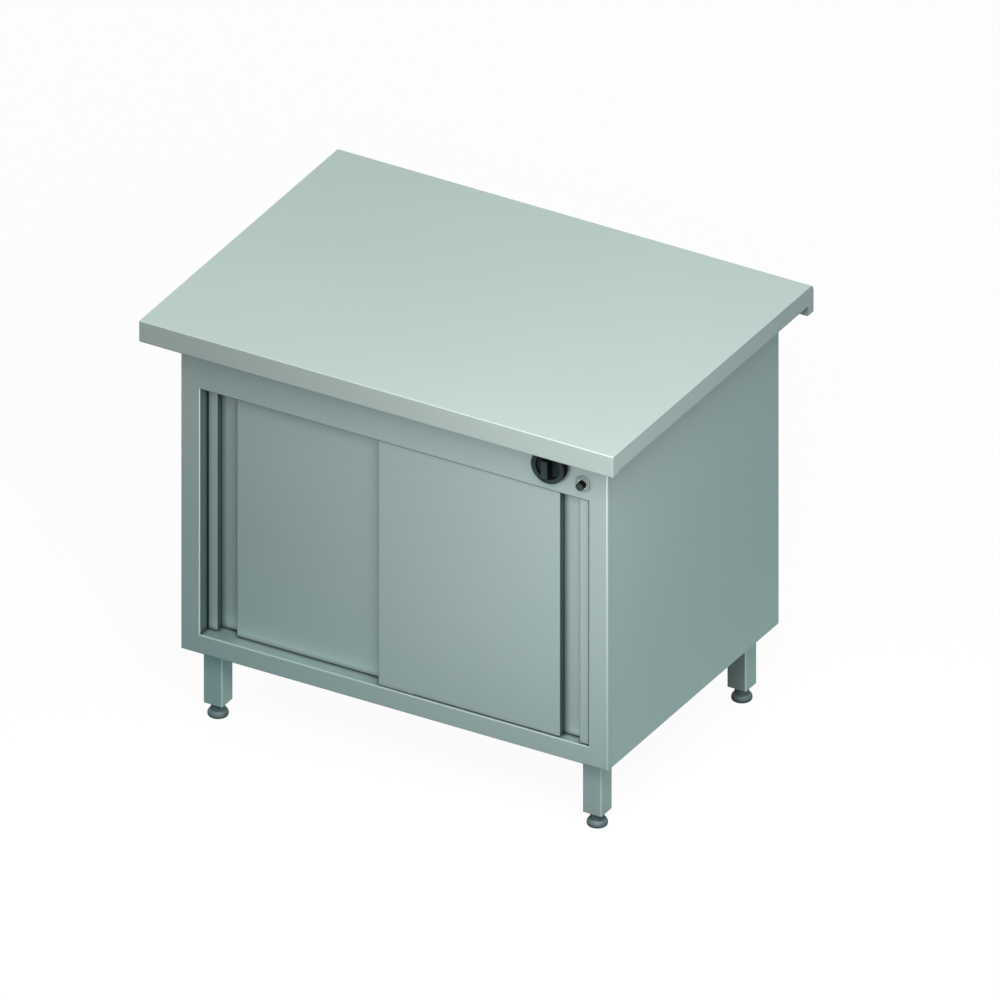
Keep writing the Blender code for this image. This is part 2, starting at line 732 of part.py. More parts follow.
def middle_shelf():
    """The flanged shelf and the two angle rails that carry it."""
    wide = LINER_X - SHELF_SIDE_GAP
    low = (-wide, LINER_FRONT + SHELF_FRONT_GAP, SHELF_Z - SHELF_FLANGE)
    high = (wide, LINER_BACK - SHELF_BACK_GAP, SHELF_Z)
    pan("middle_shelf", low, high, False, SHELF_SHEET, LINER_BEND, STEEL)
    rest = SHELF_Z - SHELF_FLANGE - GAP
    outer = LINER_X - GAP
    for side in (1, -1):
        line = [(outer - SHELF_RAIL_WIDTH, rest), (outer, rest), (outer, rest - SHELF_RAIL_HEIGHT)]
        # The sheet lies to the left, so the line runs from the wall's foot to the rest.
        outline = [(x, z) for x, z in folded(line[::-1], LINER_SHEET, LINER_BEND)]
        outline = mirrored(outline, side)
        prism(f"{side_name(side)}_shelf_rail", "Y", outline, low[1], high[1], STEEL)


# Doors

def lane_y(side):
    """The middle of a door's lane: the right door runs in front of the left one."""
    front = FRONT_Y + DOOR_SETBACK + DOOR_THICKNESS / 2
    return front if side > 0 else front + LANE_PITCH


def door_skin(side, carrier):
    """The outer sheet of a door, folded round its full-height pull channel."""
    face = lane_y(side) - DOOR_THICKNESS / 2
    back = face + DOOR_THICKNESS
    channel = face + PULL_DEPTH
    pull_out = DOOR_OUTER_X - PULL_FLANGE
    pull_in = pull_out - PULL_WIDTH
    line = [
        (DOOR_INNER_X, back), (DOOR_INNER_X, face),
        (pull_in, face), (pull_in, channel),
        (pull_out, channel), (pull_out, face),
        (DOOR_OUTER_X, face), (DOOR_OUTER_X, back),
    ]
    outline = mirrored(folded(line, DOOR_SHEET, DOOR_BEND), side)
    prism(f"{side_name(side)}_door_skin", "Z", outline, DOOR_BOTTOM, DOOR_TOP, STEEL,
          origin=carrier.location, parent=carrier)


def door_back(side, carrier):
    """The inner sheet of a door: its head carries the hangers, its foot leaves the guide's slot."""
    face = lane_y(side) - DOOR_THICKNESS / 2
    back = face + DOOR_THICKNESS
    slot = face + DOOR_SHEET + GUIDE_FIN_WIDTH + 2 * GUIDE_PLAY
    line = [
        (slot, DOOR_BOTTOM), (back, DOOR_BOTTOM),
        (back, DOOR_TOP), (face + DOOR_SHEET + GAP, DOOR_TOP),
    ]
    inner = DOOR_INNER_X + DOOR_SHEET + GAP
    outer = DOOR_OUTER_X - DOOR_SHEET - GAP
    ends = sorted((side * inner, side * outer))
    outline = folded(line, DOOR_SHEET, DOOR_BEND)
    name = f"{side_name(side)}_door_back"
    sheet = prism(name, "X", outline, *ends, STEEL, origin=carrier.location, parent=carrier)
    near = DOOR_OUTER_X - PULL_FLANGE - PULL_WIDTH - DOOR_SHEET - GAP
    ends = sorted((side * near, side * (DOOR_OUTER_X + OVERRUN)))
    low = (ends[0], face - OVERRUN, DOOR_BOTTOM - OVERRUN)
    high = (ends[1], back - DOOR_SHEET - GAP, DOOR_TOP + OVERRUN)
    cut(sheet, box(f"{name}_pull_room", low, high, None, origin=carrier.location, parent=carrier))


def hanger(name, x, side, carrier):
    """A plate on the door's head that reaches up through the track's slot to its roller."""
    middle = lane_y(side)
    foot = DOOR_TOP + GAP
    half = HANGER_WIDTH / 2
    front, rear = middle - HANGER_SHEET / 2, middle + HANGER_SHEET / 2
    place = {"origin": carrier.location, "parent": carrier}
    outline = [
        (front, foot), (front + HANGER_FOOT_DEPTH, foot),
        (front + HANGER_FOOT_DEPTH, foot + HANGER_FOOT_SHEET), (rear, foot + HANGER_FOOT_SHEET),
        (rear, ROLLER_Z + HANGER_ABOVE_AXLE), (front, ROLLER_Z + HANGER_ABOVE_AXLE),
    ]
    plate = prism(name, "X", outline, x - half, x + half, ZINC, **place)
    roller_near = middle - ROLLER_OFFSET + ROLLER_WIDTH / 2 + GAP
    roller_far = middle - ROLLER_OFFSET - ROLLER_WIDTH / 2 - GAP
    profile = [
        (COLLAR_RADIUS, middle), (COLLAR_RADIUS, roller_near), (AXLE_RADIUS, roller_near),
        (AXLE_RADIUS, roller_far), (COLLAR_RADIUS, roller_far), (COLLAR_RADIUS, roller_far - AXLE_HEAD),
    ]
    axle = turned(f"{name}_axle", "Y", (x, ROLLER_Z), profile, None, AXLE_STEPS, **place)
    weld(plate, axle)


def roller(name, x, side, carrier):
    """A nylon wheel on its axle; its origin is on the axle."""
    middle = lane_y(side) - ROLLER_OFFSET
    low, high = middle - ROLLER_WIDTH / 2, middle + ROLLER_WIDTH / 2
    rim = ROLLER_RADIUS - ROLLER_CHAMFER
    profile = [
        (ROLLER_BORE, low), (rim, low), (ROLLER_RADIUS, low + ROLLER_CHAMFER),
        (ROLLER_RADIUS, high - ROLLER_CHAMFER), (rim, high), (ROLLER_BORE, high),
    ]
    turned(name, "Y", (x, ROLLER_Z), profile, NYLON, closed=True,
           origin=(x, middle, ROLLER_Z), parent=carrier)


def doors():
    """Both doors with their hangers and rollers, each group on its own carrier."""
    for side in (1, -1):
        word = side_name(side)
        carrier = empty(f"{word}_door_carrier", (0, lane_y(side), ROLLER_Z))
        door_skin(side, carrier)
        door_back(side, carrier)
        for place, x in (("inner", INNER_HANGER_X), ("outer", OUTER_HANGER_X)):
            hanger(f"{word}_door_{place}_hanger", side * x, side, carrier)
            roller(f"{word}_door_{place}_roller", side * x, side, carrier)


def door_track():
    """The double track: a web, three legs and four lips that leave a slot under each lane."""
    front, rear = lane_y(1), lane_y(-1)
    half_slot, half_leg = SLOT_WIDTH / 2, TRACK_SHEET / 2
    near, far = RAIL_BACK + GAP, rear + LANE_PITCH / 2 + half_leg
    middle = (front + rear) / 2
    outline = [
        (near, TRACK_TOP), (near, TRACK_BOTTOM),
        (front - half_slot, TRACK_BOTTOM), (front - half_slot, LIP_TOP),
        (near + TRACK_SHEET, LIP_TOP), (near + TRACK_SHEET, TRACK_UNDER),
        (middle - half_leg, TRACK_UNDER), (middle - half_leg, LIP_TOP),
        (front + half_slot, LIP_TOP), (front + half_slot, TRACK_BOTTOM),
        (rear - half_slot, TRACK_BOTTOM), (rear - half_slot, LIP_TOP),
        (middle + half_leg, LIP_TOP), (middle + half_leg, TRACK_UNDER),
        (far - TRACK_SHEET, TRACK_UNDER), (far - TRACK_SHEET, LIP_TOP),
        (rear + half_slot, LIP_TOP), (rear + half_slot, TRACK_BOTTOM),
        (far, TRACK_BOTTOM), (far, TRACK_TOP),
    ]
    prism("door_track", "X", outline, -TRACK_X, TRACK_X, DARK_STEEL)

    # A rubber stop fills the end of each lane that its door opens towards.
    reach = INNER_HANGER_X - HANGER_WIDTH / 2 - DOOR_TRAVEL - RUN_GAP
    for side, low_y, high_y in (
        (1, near + TRACK_SHEET, middle - half_leg),
        (-1, middle + half_leg, far - TRACK_SHEET),
    ):
        ends = sorted((side * reach, -side * TRACK_X))
        low = (ends[0], low_y + GAP, LIP_TOP + GAP)
        high = (ends[1], high_y - GAP, TRACK_UNDER - GAP)
        box(f"{side_name(side)}_door_stop", low, high, RUBBER)


def bottom_guide():
    """A nylon plate on the sill with a fin up into the slot under each door."""
    base = SILL_Z + GAP
    fin_z = DOOR_BOTTOM + GUIDE_FIN_REACH
    fins = {}
    for side in (1, -1):
        low_y = lane_y(side) - DOOR_THICKNESS / 2 + DOOR_SHEET + GUIDE_PLAY
        middle = -side * GUIDE_FIN_OFFSET
        low = (middle - GUIDE_FIN_LENGTH / 2, low_y, base)
        fins[side] = (low, (middle + GUIDE_FIN_LENGTH / 2, low_y + GUIDE_FIN_WIDTH, fin_z))
    wide = GUIDE_FIN_OFFSET + GUIDE_FIN_LENGTH / 2 + GUIDE_MARGIN
    front = fins[1][0][1] - GAP
    plate_low = (-wide, front, base)
    plate_high = (wide, fins[-1][1][1] + GUIDE_MARGIN, base + GUIDE_BASE)
    plate = box("bottom_guide", plate_low, plate_high, NYLON)
    for side, (low, high) in fins.items():
        weld(plate, box(f"{side_name(side)}_guide_fin", low, high, None))


# Heater

def heater_route():
    """The middle line of the heating tube: runs along X joined by half circles."""
    z = BASE_Z + CASING_SHEET + HEATER_LIFT
    end_x = LINER_X - HEATER_SIDE_MARGIN
    turn = HEATER_PITCH / 2
    middle = (LINER_FRONT + LINER_BACK) / 2
    points = [(end_x, middle - turn * (HEATER_RUNS - 1), z)]
    for run in range(HEATER_RUNS - 1):
        side = -1 if run % 2 == 0 else 1
        centre_y = middle - turn * (HEATER_RUNS - 1) + HEATER_PITCH * run + turn
        centre_x = side * (end_x - turn)
        for k in range(HEATER_TURN_STEPS + 1):
            angle = pi * k / HEATER_TURN_STEPS - pi / 2
            points.append((centre_x + side * turn * cos(angle), centre_y + turn * sin(angle), z))
    points.append((-side * end_x, middle + turn * (HEATER_RUNS - 1), z))
    return points


def heater():
    """The tubular heater under the deck and the two notched brackets that carry it."""
    curve = bpy.data.curves.new("heater_element", "CURVE")
    curve.dimensions = "3D"
    curve.bevel_depth = HEATER_RADIUS
    curve.bevel_resolution = 2
    curve.use_fill_caps = True
    route = heater_route()
    line = curve.splines.new("POLY")
    line.points.add(len(route) - 1)
    for point, place in zip(line.points, route):
        point.co = (*place, 1)
    item = bpy.data.objects.new("heater_element", curve)
    hang(item, (0, 0, 0), None)
    dress(item, DARK_STEEL)

    z = route[0][2]
    foot = BASE_Z + CASING_SHEET + GAP
    notch = HEATER_RADIUS + GAP
    middle = (LINER_FRONT + LINER_BACK) / 2
    half = HEATER_PITCH / 2 * (HEATER_RUNS - 1)
    low_y, high_y = middle - half - BRACKET_MARGIN, middle + half + BRACKET_MARGIN
    outline = [(high_y, z), (high_y, foot), (low_y, foot), (low_y, z)]
    for run in range(HEATER_RUNS):
        y = middle - half + HEATER_PITCH * run
        outline += [
            (y - notch * cos(pi * k / NOTCH_STEPS), z - notch * sin(pi * k / NOTCH_STEPS))
            for k in range(NOTCH_STEPS + 1)
        ]
    for side in (1, -1):
        x = side * BRACKET_SET
        name = f"{side_name(side)}_heater_bracket"
        plate = prism(name, "X", outline, x - BRACKET_SHEET / 2, x + BRACKET_SHEET / 2, ZINC)
        low = (x - BRACKET_FOOT / 2, low_y, foot)
        weld(plate, box(f"{name}_foot", low, (x + BRACKET_FOOT / 2, high_y, foot + BRACKET_SHEET), None))


# Controls

def thermostat():
    """The thermostat behind the top rail, with blade terminals on its back."""
    front = RAIL_BACK + GAP
    back = front + THERMOSTAT_DEPTH
    low = (KNOB_X - THERMOSTAT_WIDTH / 2, KNOB_Z - THERMOSTAT_HEIGHT / 2)
    high = (KNOB_X + THERMOSTAT_WIDTH / 2, KNOB_Z + THERMOSTAT_HEIGHT / 2)
    body = prism("thermostat_body", "Y", rounded_rectangle(low, high, THERMOSTAT_BEVEL, 1),
                 front, back, CERAMIC)
    for k in (-1, 0, 1):
        x = KNOB_X + k * BLADE_PITCH
        blade_low = (x - BLADE_SHEET / 2, back - BLADE_SHEET, KNOB_Z - BLADE_WIDTH / 2)
        blade_high = (x + BLADE_SHEET / 2, back + BLADE_LENGTH, KNOB_Z + BLADE_WIDTH / 2)
        weld(body, box(f"thermostat_blade_{k + 2}", blade_low, blade_high, None))
    stem_end = RAIL_BACK + STEM_BEHIND_RAIL
    drill(body, "Y", (KNOB_X, KNOB_Z), front - OVERRUN, stem_end + GAP, STEM_RADIUS + GAP)


def knob():
    """The knob, a dished disc with a grip bar across it, and the flatted stem that it turns."""
    origin = (KNOB_X, FRONT_Y, KNOB_Z)
    place = {"origin": origin}
    back = FRONT_Y - KNOB_STANDOFF
    front = back - KNOB_THICKNESS
    skirt = KNOB_RADIUS - KNOB_EDGE
    profile = [
        (skirt, back), (KNOB_RADIUS, back - KNOB_EDGE), (KNOB_RADIUS, front + KNOB_EDGE),
        (skirt, front), (KNOB_DISH_RADIUS, front),
        (KNOB_DISH_RADIUS - KNOB_DISH_DRAFT, front + KNOB_DISH_DEPTH),
    ]
    disc = turned("knob", "Y", (KNOB_X, KNOB_Z), profile, BLACK_PLASTIC, KNOB_STEPS, **place)
    loops = []
    top = front - GRIP_HEIGHT
    for inset, y in ((0, front + GRIP_SINK), (0, top + GRIP_EDGE), (GRIP_EDGE, top)):
        # The bar's ends slope in evenly from the face of the disc to the bar's top.
        reach = GRIP_REACH + (GRIP_REACH - GRIP_TOP_REACH) * (y - front) / GRIP_HEIGHT - inset
        low = (KNOB_X - GRIP_WIDTH / 2 + inset, KNOB_Z - reach)
        high = (KNOB_X + GRIP_WIDTH / 2 - inset, KNOB_Z + reach)
        outline = rounded_rectangle(low, high, GRIP_CORNER)
        loops.append(set_along("Y", outline, y))
    weld(disc, loft("knob_grip", loops, None, **place))
    floor = back - STEM_IN_KNOB
    hole = circle(STEM_RADIUS + GAP, (KNOB_X, KNOB_Z))
    cut(disc, prism("knob_socket", "Y", hole, floor, back + OVERRUN, None, **place))

    start = acos(1 - STEM_FLAT / STEM_RADIUS)
    angles = [start + (tau - 2 * start) * k / STEM_STEPS for k in range(STEM_STEPS + 1)]
    outline = [
        (KNOB_X + STEM_RADIUS * cos(angle), KNOB_Z + STEM_RADIUS * sin(angle)) for angle in angles
    ]
    ends = (floor + GAP, RAIL_BACK + STEM_BEHIND_RAIL)
    prism("thermostat_stem", "Y", outline, *ends, ZINC, **place)


def capillary_drop():
    """Where the capillary goes down through the ceiling, in plan."""
    return (KNOB_X, RAIL_BACK + THERMOSTAT_DEPTH + BULB_LENGTH / 2)


def thermostat_bulb():
    """The capillary from the thermostat's underside down to its bulb under the ceiling."""
    drop_x, drop_y = capillary_drop()
    start_y = RAIL_BACK + THERMOSTAT_DEPTH - CAPILLARY_INSET
    low = KNOB_Z - THERMOSTAT_HEIGHT / 2
    above = low - (low - TRACK_TOP) / 2
    under = CEILING_Z - BULB_DROP - BULB_RADIUS
    bend = CAPILLARY_BEND
    end_y = drop_y + bend + CAPILLARY_LEAD
    route = [
        (drop_x, start_y, low - GAP), (drop_x, start_y, above),
        (drop_x, drop_y - bend, above), (drop_x, drop_y, above - bend),
        (drop_x, drop_y, under + bend), (drop_x, drop_y + bend, under),
        (drop_x, end_y, under),
    ]
    curve = bpy.data.curves.new("thermostat_bulb", "CURVE")
    curve.dimensions = "3D"
    curve.bevel_depth = CAPILLARY_RADIUS
    curve.bevel_resolution = 1
    curve.use_fill_caps = True
    bulb = BULB_RADIUS / CAPILLARY_RADIUS
    wide = [(drop_x, end_y + BULB_RADIUS, under), (drop_x, end_y + BULB_LENGTH, under)]
    line = curve.splines.new("POLY")
    line.points.add(len(route) + len(wide) - 1)
    radii = [1] * len(route) + [bulb] * len(wide)
    for point, place, radius in zip(line.points, route + wide, radii):
        point.co = (*place, 1)
        point.radius = radius
    item = bpy.data.objects.new("thermostat_bulb", curve)
    hang(item, (0, 0, 0), None)
    dress(item, ZINC)


def limiter():
    """The overheat limiter: a housing behind the rail, its neck and nut, and the reset button."""
    centre = (BUTTON_X, BUTTON_Z)
    bore = BUTTON_RADIUS + RUN_GAP
    neck = bore + NECK_WALL
    rear = RAIL_BACK + GAP
    end = rear + LIMITER_DEPTH
    bottom = rear + BUTTON_TAIL + BUTTON_TRAVEL + GAP
    profile = [
        (bore, bottom), (bore, FRONT_Y - NECK_REACH), (neck, FRONT_Y - NECK_REACH),
        (neck, rear), (LIMITER_RADIUS, rear), (LIMITER_RADIUS, end),
    ]
    turned("limiter_housing", "Y", centre, profile, ZINC)

    point = NUT_ACROSS_FLATS / 2 / cos(pi / 6)
    # The nut stands on a point, so its circle starts at the top.
    hex_outline = [(x, z) for z, x in reversed(circle(point, (BUTTON_Z, BUTTON_X), 6))]
    face = FRONT_Y - GAP
    nut = prism("limiter_nut", "Y", hex_outline, face - NUT_THICKNESS, face, ZINC)
    drill(nut, "Y", centre, face - NUT_THICKNESS - OVERRUN, face + OVERRUN, neck + GAP)

    tip = FRONT_Y - BUTTON_REACH
    edge = BUTTON_RADIUS - BUTTON_EDGE
    profile = [(edge, tip), (BUTTON_RADIUS, tip + BUTTON_EDGE), (BUTTON_RADIUS, rear + BUTTON_TAIL)]
    turned("reset_button", "Y", centre, profile, BLACK_PLASTIC, BUTTON_STEPS,
           origin=(BUTTON_X, FRONT_Y, BUTTON_Z))


# Supply fittings

def gland_place():
    """Where the cable gland goes through the back panel, in X and Z."""
    return (SIDE_X - GLAND_FROM_SIDE, HEAD_Z + GLAND_ABOVE_OPENING)


def stud_place():
    """Where the bonding stud goes through the back panel, in X and Z."""
    return (SIDE_X - STUD_FROM_SIDE, BASE_Z + STUD_ABOVE_UNDERSIDE)


def supply_fittings():
    """The cable gland and bonding stud in the back panel and the terminal block inside."""
    face = BACK_Y - CASING_SHEET - GAP
    centre = gland_place()
    hex_end = face + GAP + GLAND_HEX_THICKNESS
    dome_end = hex_end + GLAND_DOME_LENGTH
    shoulder = dome_end - GLAND_DOME_ROUND
    inner_end = face - BACK_SHEET - GLAND_TAIL
    profile = [
        (GLAND_MOUTH_RADIUS, inner_end), (GLAND_NECK_RADIUS, inner_end),
        (GLAND_NECK_RADIUS, hex_end), (GLAND_DOME_RADIUS, hex_end),
        (GLAND_DOME_RADIUS, shoulder), (GLAND_MOUTH_RADIUS + GLAND_LIP, dome_end),
        (GLAND_MOUTH_RADIUS, dome_end),
    ]
    gland = turned("cable_gland", "Y", centre, profile, GREY_PLASTIC, closed=True)
    ring = circle(GLAND_HEX / 2 / cos(pi / 6), centre, 6)
    collar = prism("gland_hex", "Y", ring, face + GAP, hex_end + GAP, None)
    drill(collar, "Y", centre, face - OVERRUN, hex_end + OVERRUN,
          (GLAND_NECK_RADIUS + GLAND_MOUTH_RADIUS) / 2)
    weld(gland, collar)

    centre = stud_place()
    profile = [(STUD_RADIUS, face - BACK_SHEET - STUD_TAIL), (STUD_RADIUS, face + STUD_REACH)]
    stud = turned("bonding_stud", "Y", centre, profile, ZINC, AXLE_STEPS)
    ring = circle(STUD_HEX / 2 / cos(pi / 6), centre, 6)
    weld(stud, prism("stud_nut", "Y", ring, face + GAP, face + GAP + STUD_HEX_THICKNESS, None))

    low_z = CEILING_Z + LINER_SHEET + GAP
    back = LINER_BACK - TERMINAL_FROM_BACK
    low = (KNOB_X - TERMINAL_WIDTH / 2, back - TERMINAL_DEPTH, low_z)
    high = (KNOB_X + TERMINAL_WIDTH / 2, back, low_z + TERMINAL_HEIGHT)
    block = box("terminal_block", low, high, CERAMIC)
    pitch = TERMINAL_WIDTH / TERMINAL_WAYS
    for way in range(TERMINAL_WAYS):
        x = low[0] + pitch * way + pitch / 2
        slot_low = (x - TERMINAL_SLOT / 2, low[1] - OVERRUN, high[2] - TERMINAL_SLOT)
        slot_high = (x + TERMINAL_SLOT / 2, back + OVERRUN, high[2] + OVERRUN)
        cut(block, box(f"terminal_slot_{way + 1}", slot_low, slot_high, None))


# Legs

def legs():
    """Four square tube legs, each with a threaded insert and an adjustable foot."""
    top = BASE_Z - GAP
    half = LEG_SIZE / 2
    for word, x, y in (
        ("front_right", LEG_X, LEG_FRONT), ("front_left", -LEG_X, LEG_FRONT),
        ("back_right", LEG_X, LEG_BACK), ("back_left", -LEG_X, LEG_BACK),
    ):
        outer = rounded_rectangle((x - half, y - half), (x + half, y + half), LEG_CORNER)
        hollow = half - LEG_WALL
        corner = LEG_CORNER - LEG_WALL
        inner = rounded_rectangle((x - hollow, y - hollow), (x + hollow, y + hollow), corner)
        loops = [set_along("Z", outline, z) for outline, z in (
            (outer, FOOT_HEIGHT), (outer, top), (inner, top), (inner, FOOT_HEIGHT))]
        loft(f"{word}_leg", loops, STEEL, closed=True)

        plug = hollow - GAP
        edge = rounded_rectangle((x - plug, y - plug), (x + plug, y + plug), corner)
        bore = circle(SPINDLE_RADIUS + GAP, (x, y), len(edge))
        # The bore starts at the same corner as the plug's edge.
        first = len(edge) * 3 // 4
        bore = bore[first:] + bore[:first]
        insert_top = FOOT_HEIGHT + INSERT_HEIGHT
        loops = [set_along("Z", outline, z) for outline, z in (
            (edge, FOOT_HEIGHT), (edge, insert_top), (bore, insert_top), (bore, FOOT_HEIGHT))]
        loft(f"{word}_leg_insert", loops, GREY_PLASTIC, closed=True)

        neck_top = FOOT_HEIGHT - GAP
        lower, upper = FOOT_RADIUS - FOOT_SOLE_RADIUS, FOOT_RADIUS - FOOT_WAIST_RADIUS
        shoulder = FOOT_SHOULDER - FOOT_EDGE
        turns = [pi / 2 * k / BEND_STEPS for k in range(BEND_STEPS + 1)]
        profile = [
            *((FOOT_SOLE_RADIUS + lower * sin(turn), FOOT_EDGE * (1 - cos(turn))) for turn in turns),
            *((FOOT_WAIST_RADIUS + upper * cos(turn), FOOT_EDGE + shoulder * sin(turn))
              for turn in turns[1:]),
            (FOOT_WAIST_RADIUS, FOOT_SHOULDER + FOOT_WAIST_RISE),
            (FOOT_NECK_RADIUS, FOOT_SHOULDER + FOOT_WAIST_RISE + FOOT_NECK_RISE),
            (FOOT_NECK_RADIUS, neck_top),
            (SPINDLE_RADIUS, neck_top), (SPINDLE_RADIUS, neck_top + SPINDLE_LENGTH),
        ]
        turned(f"{word}_foot", "Z", (x, y), profile, ZINC, FOOT_STEPS, origin=(x, y, 0))


def build():
    """Makes every piece."""
    clear_scene()
    worktop()
    front_frame()
    side_panels()
    base_and_back()
    liner()
    insulation()
    middle_shelf()
    doors()
    door_track()
    bottom_guide()
    heater()
    thermostat()
    knob()
    thermostat_bulb()
    limiter()
    supply_fittings()
    legs()


build()
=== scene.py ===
"""Dressed model of the heated plate warmer table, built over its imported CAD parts.

Metres, Z up, X along the front to the right and Y to the back, as in the CAD. Each class is a
sub-assembly that works out its surfaces as whole numpy arrays, gives them their finish and says
which CAD parts they stand for. CAD parts whose shape is right stay and only get their finish.
"""

import logging
from dataclasses import dataclass, replace
from enum import Enum

import bmesh
import bpy
import numpy as np
from mathutils import Matrix, Vector


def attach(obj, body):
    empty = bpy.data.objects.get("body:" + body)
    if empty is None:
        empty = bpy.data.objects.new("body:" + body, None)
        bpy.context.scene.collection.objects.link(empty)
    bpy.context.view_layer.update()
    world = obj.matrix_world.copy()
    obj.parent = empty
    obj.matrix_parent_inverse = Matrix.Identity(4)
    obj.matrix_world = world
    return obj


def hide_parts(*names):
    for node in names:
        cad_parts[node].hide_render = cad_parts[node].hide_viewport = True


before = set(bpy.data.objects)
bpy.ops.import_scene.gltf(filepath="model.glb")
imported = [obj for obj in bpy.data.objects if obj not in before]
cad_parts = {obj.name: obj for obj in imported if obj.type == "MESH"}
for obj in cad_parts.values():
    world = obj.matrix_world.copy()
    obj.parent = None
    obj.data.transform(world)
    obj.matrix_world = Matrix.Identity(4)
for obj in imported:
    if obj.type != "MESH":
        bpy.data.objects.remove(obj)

Array = np.ndarray
Node = bpy.types.ShaderNode
Tree = bpy.types.NodeTree
Output = tuple[Node, str]
Pair = tuple[float, float]

log = logging.getLogger("plate_warmer")

MM = 0.001
# Points nearer than this are one point.
MERGE = 1e-6
# Segments of a bend, of a moulded edge and of the finest edges.
BEND_STEPS, EDGE_STEPS, FINE_STEPS = 8, 5, 3
# Sides of a turned piece, by how large it shows.
SMALL_ROUND, MIDDLE_ROUND, LARGE_ROUND = 48, 72, 96
# The names of the sides at +X and -X.
SIDES = {1: "right", -1: "left"}
# Edges flatter than this angle, in radians, are shaded soft.
SOFT_ANGLE = 0.61
# Painted shade of the opening lies within this distance of the middle, with a soft end.
RECESS_SHADE_LIMIT, RECESS_SHADE_END = 0.440, 0.010
# How much of that painted shade faces along X, Y and Z get.
RECESS_SHADE_SHARES = (1.0, 0.0, 0.45)
# The scale of a ground pattern along its grain, which makes a scratch 50 times as long.
STREAK = 0.02
# Rays by which the painted corner shade looks for closed space.
CORNER_SHADE_RAYS = 8
# Sockets of a colour mix: its two colours and its result.
MIX_LOW, MIX_HIGH, MIX_RESULT = 6, 7, 2
WHITE = (1.0, 1.0, 1.0, 1.0)


# Surfaces

class Axis(Enum):
    """An axis of the table, by its place in X, Y, Z order."""

    X = 0
    Y = 1
    Z = 2


@dataclass
class Patch:
    """A grid of points, rows by columns, that is one closed skin of a piece.

    The columns close on themselves. along closes the rows too, and capped lays a flat face over
    the first and the last row.
    """

    points: Array
    along: bool = False
    capped: bool = True

    def faces(self) -> list[list[int]]:
        """Lists the faces, turned outwards.

        Returns:
            Corner numbers of each quad of the grid, then of the two caps. The signed volume,
            a sixth of the sum of a . (b x c) over the fans of all faces, tells the way round.
        """
        rows, columns = self.points.shape[:2]
        number = np.arange(rows * columns).reshape(rows, columns)
        if self.along:
            number = np.vstack([number, number[:1]])
        number = np.hstack([number, number[:, :1]])
        quads = np.stack(
            [number[:-1, :-1], number[:-1, 1:], number[1:, 1:], number[1:, :-1]], axis=-1
        ).reshape(-1, 4)
        made = quads.tolist()
        if self.capped and not self.along:
            made += [number[0, :columns][::-1].tolist(), number[-1, :columns].tolist()]
        flat = self.points.reshape(-1, 3)
        fans = [np.array([[face[0], a, b] for a, b in zip(face[1:], face[2:])])
                for face in made[len(quads):]]
        corners = flat[np.vstack([quads[:, [0, 1, 2]], quads[:, [0, 2, 3]], *fans])]
        volume = np.einsum("ij,ij->i", corners[:, 0], np.cross(corners[:, 1], corners[:, 2])).sum()
        return made if volume > 0 else [face[::-1] for face in made]


def unit(vectors: Array) -> Array:
    """Scales each row of an array to length one."""
    return vectors / np.linalg.norm(vectors, axis=-1, keepdims=True)


def bent(points: Array, sheet: float, bend: float, steps: int = BEND_STEPS) -> Array:
    """Rounds the corners of an open line as a folded sheet's are.

    Each corner becomes an arc about the point where its two sides, moved in by the radius,
    meet. The sheet lies to the left, so a right turn is bent a sheet's thickness tighter.

    Args:
        points: the line, n by 2, in metres.
        sheet: the sheet's thickness; zero rounds both turns alike.
        bend: the outer radius.
        steps: the segments of each arc.

    Returns:
        The rounded line, with the same two ends.
    """
    corner = points[1:-1]
    back, ahead = unit(points[:-2] - corner), unit(points[2:] - corner)
    left = back[:, 1] * ahead[:, 0] - back[:, 0] * ahead[:, 1] > 0
    radius = np.where(left, bend, bend - sheet)
    half = np.arccos(np.clip((back * ahead).sum(axis=1), -1, 1)) / 2
    centre = corner + unit(back + ahead) * (radius / np.sin(half))[:, None]
    start = corner + back * (radius / np.tan(half))[:, None] - centre
    turn = (np.where(left, 1, -1) * (np.pi - 2 * half))[:, None] * np.linspace(0, 1, steps + 1)
    cos, sin = np.cos(turn), np.sin(turn)
    x, y = start[:, :1], start[:, 1:]
    arcs = centre[:, None] + np.stack([x * cos - y * sin, x * sin + y * cos], axis=-1)
    return np.vstack([points[:1], arcs.reshape(-1, 2), points[-1:]])


def left_of(line: Array, distance: float) -> Array:
    """Moves an open line to its left by a distance, mitred at its points.

    Args:
        line: the points, n by 2.
        distance: how far it moves.

    Returns:
        The moved line: each point plus the sum of its two normals times the distance over one
        plus their product.
    """
    step = unit(np.diff(line, axis=0))
    normal = np.stack([-step[:, 1], step[:, 0]], axis=-1)
    before, after = np.vstack([normal[:1], normal]), np.vstack([normal, normal[-1:]])
    share = distance / (1 + (before * after).sum(axis=1))
    return line + (before + after) * share[:, None]


def drawn_in(bend: Array, depth: Array) -> Array:
    """Gives how far the arc of a bend draws an edge in, a depth below the face."""
    rise = np.clip(bend - depth, 0, None)
    return bend - np.sqrt(bend ** 2 - rise ** 2)


def folded(points: list[Pair], sheet: float, bend: float) -> Array:
    """Draws the closed outline of a folded sheet, seen along its folds.

    Args:
        points: the corners of its right-hand face.
        sheet: its thickness.
        bend: its outer bend radius.

    Returns:
        The bent line and then the same line a sheet to its left, backwards.
    """
    line = bent(np.array(points), sheet, bend)
    return np.vstack([line, left_of(line, sheet)[::-1]])


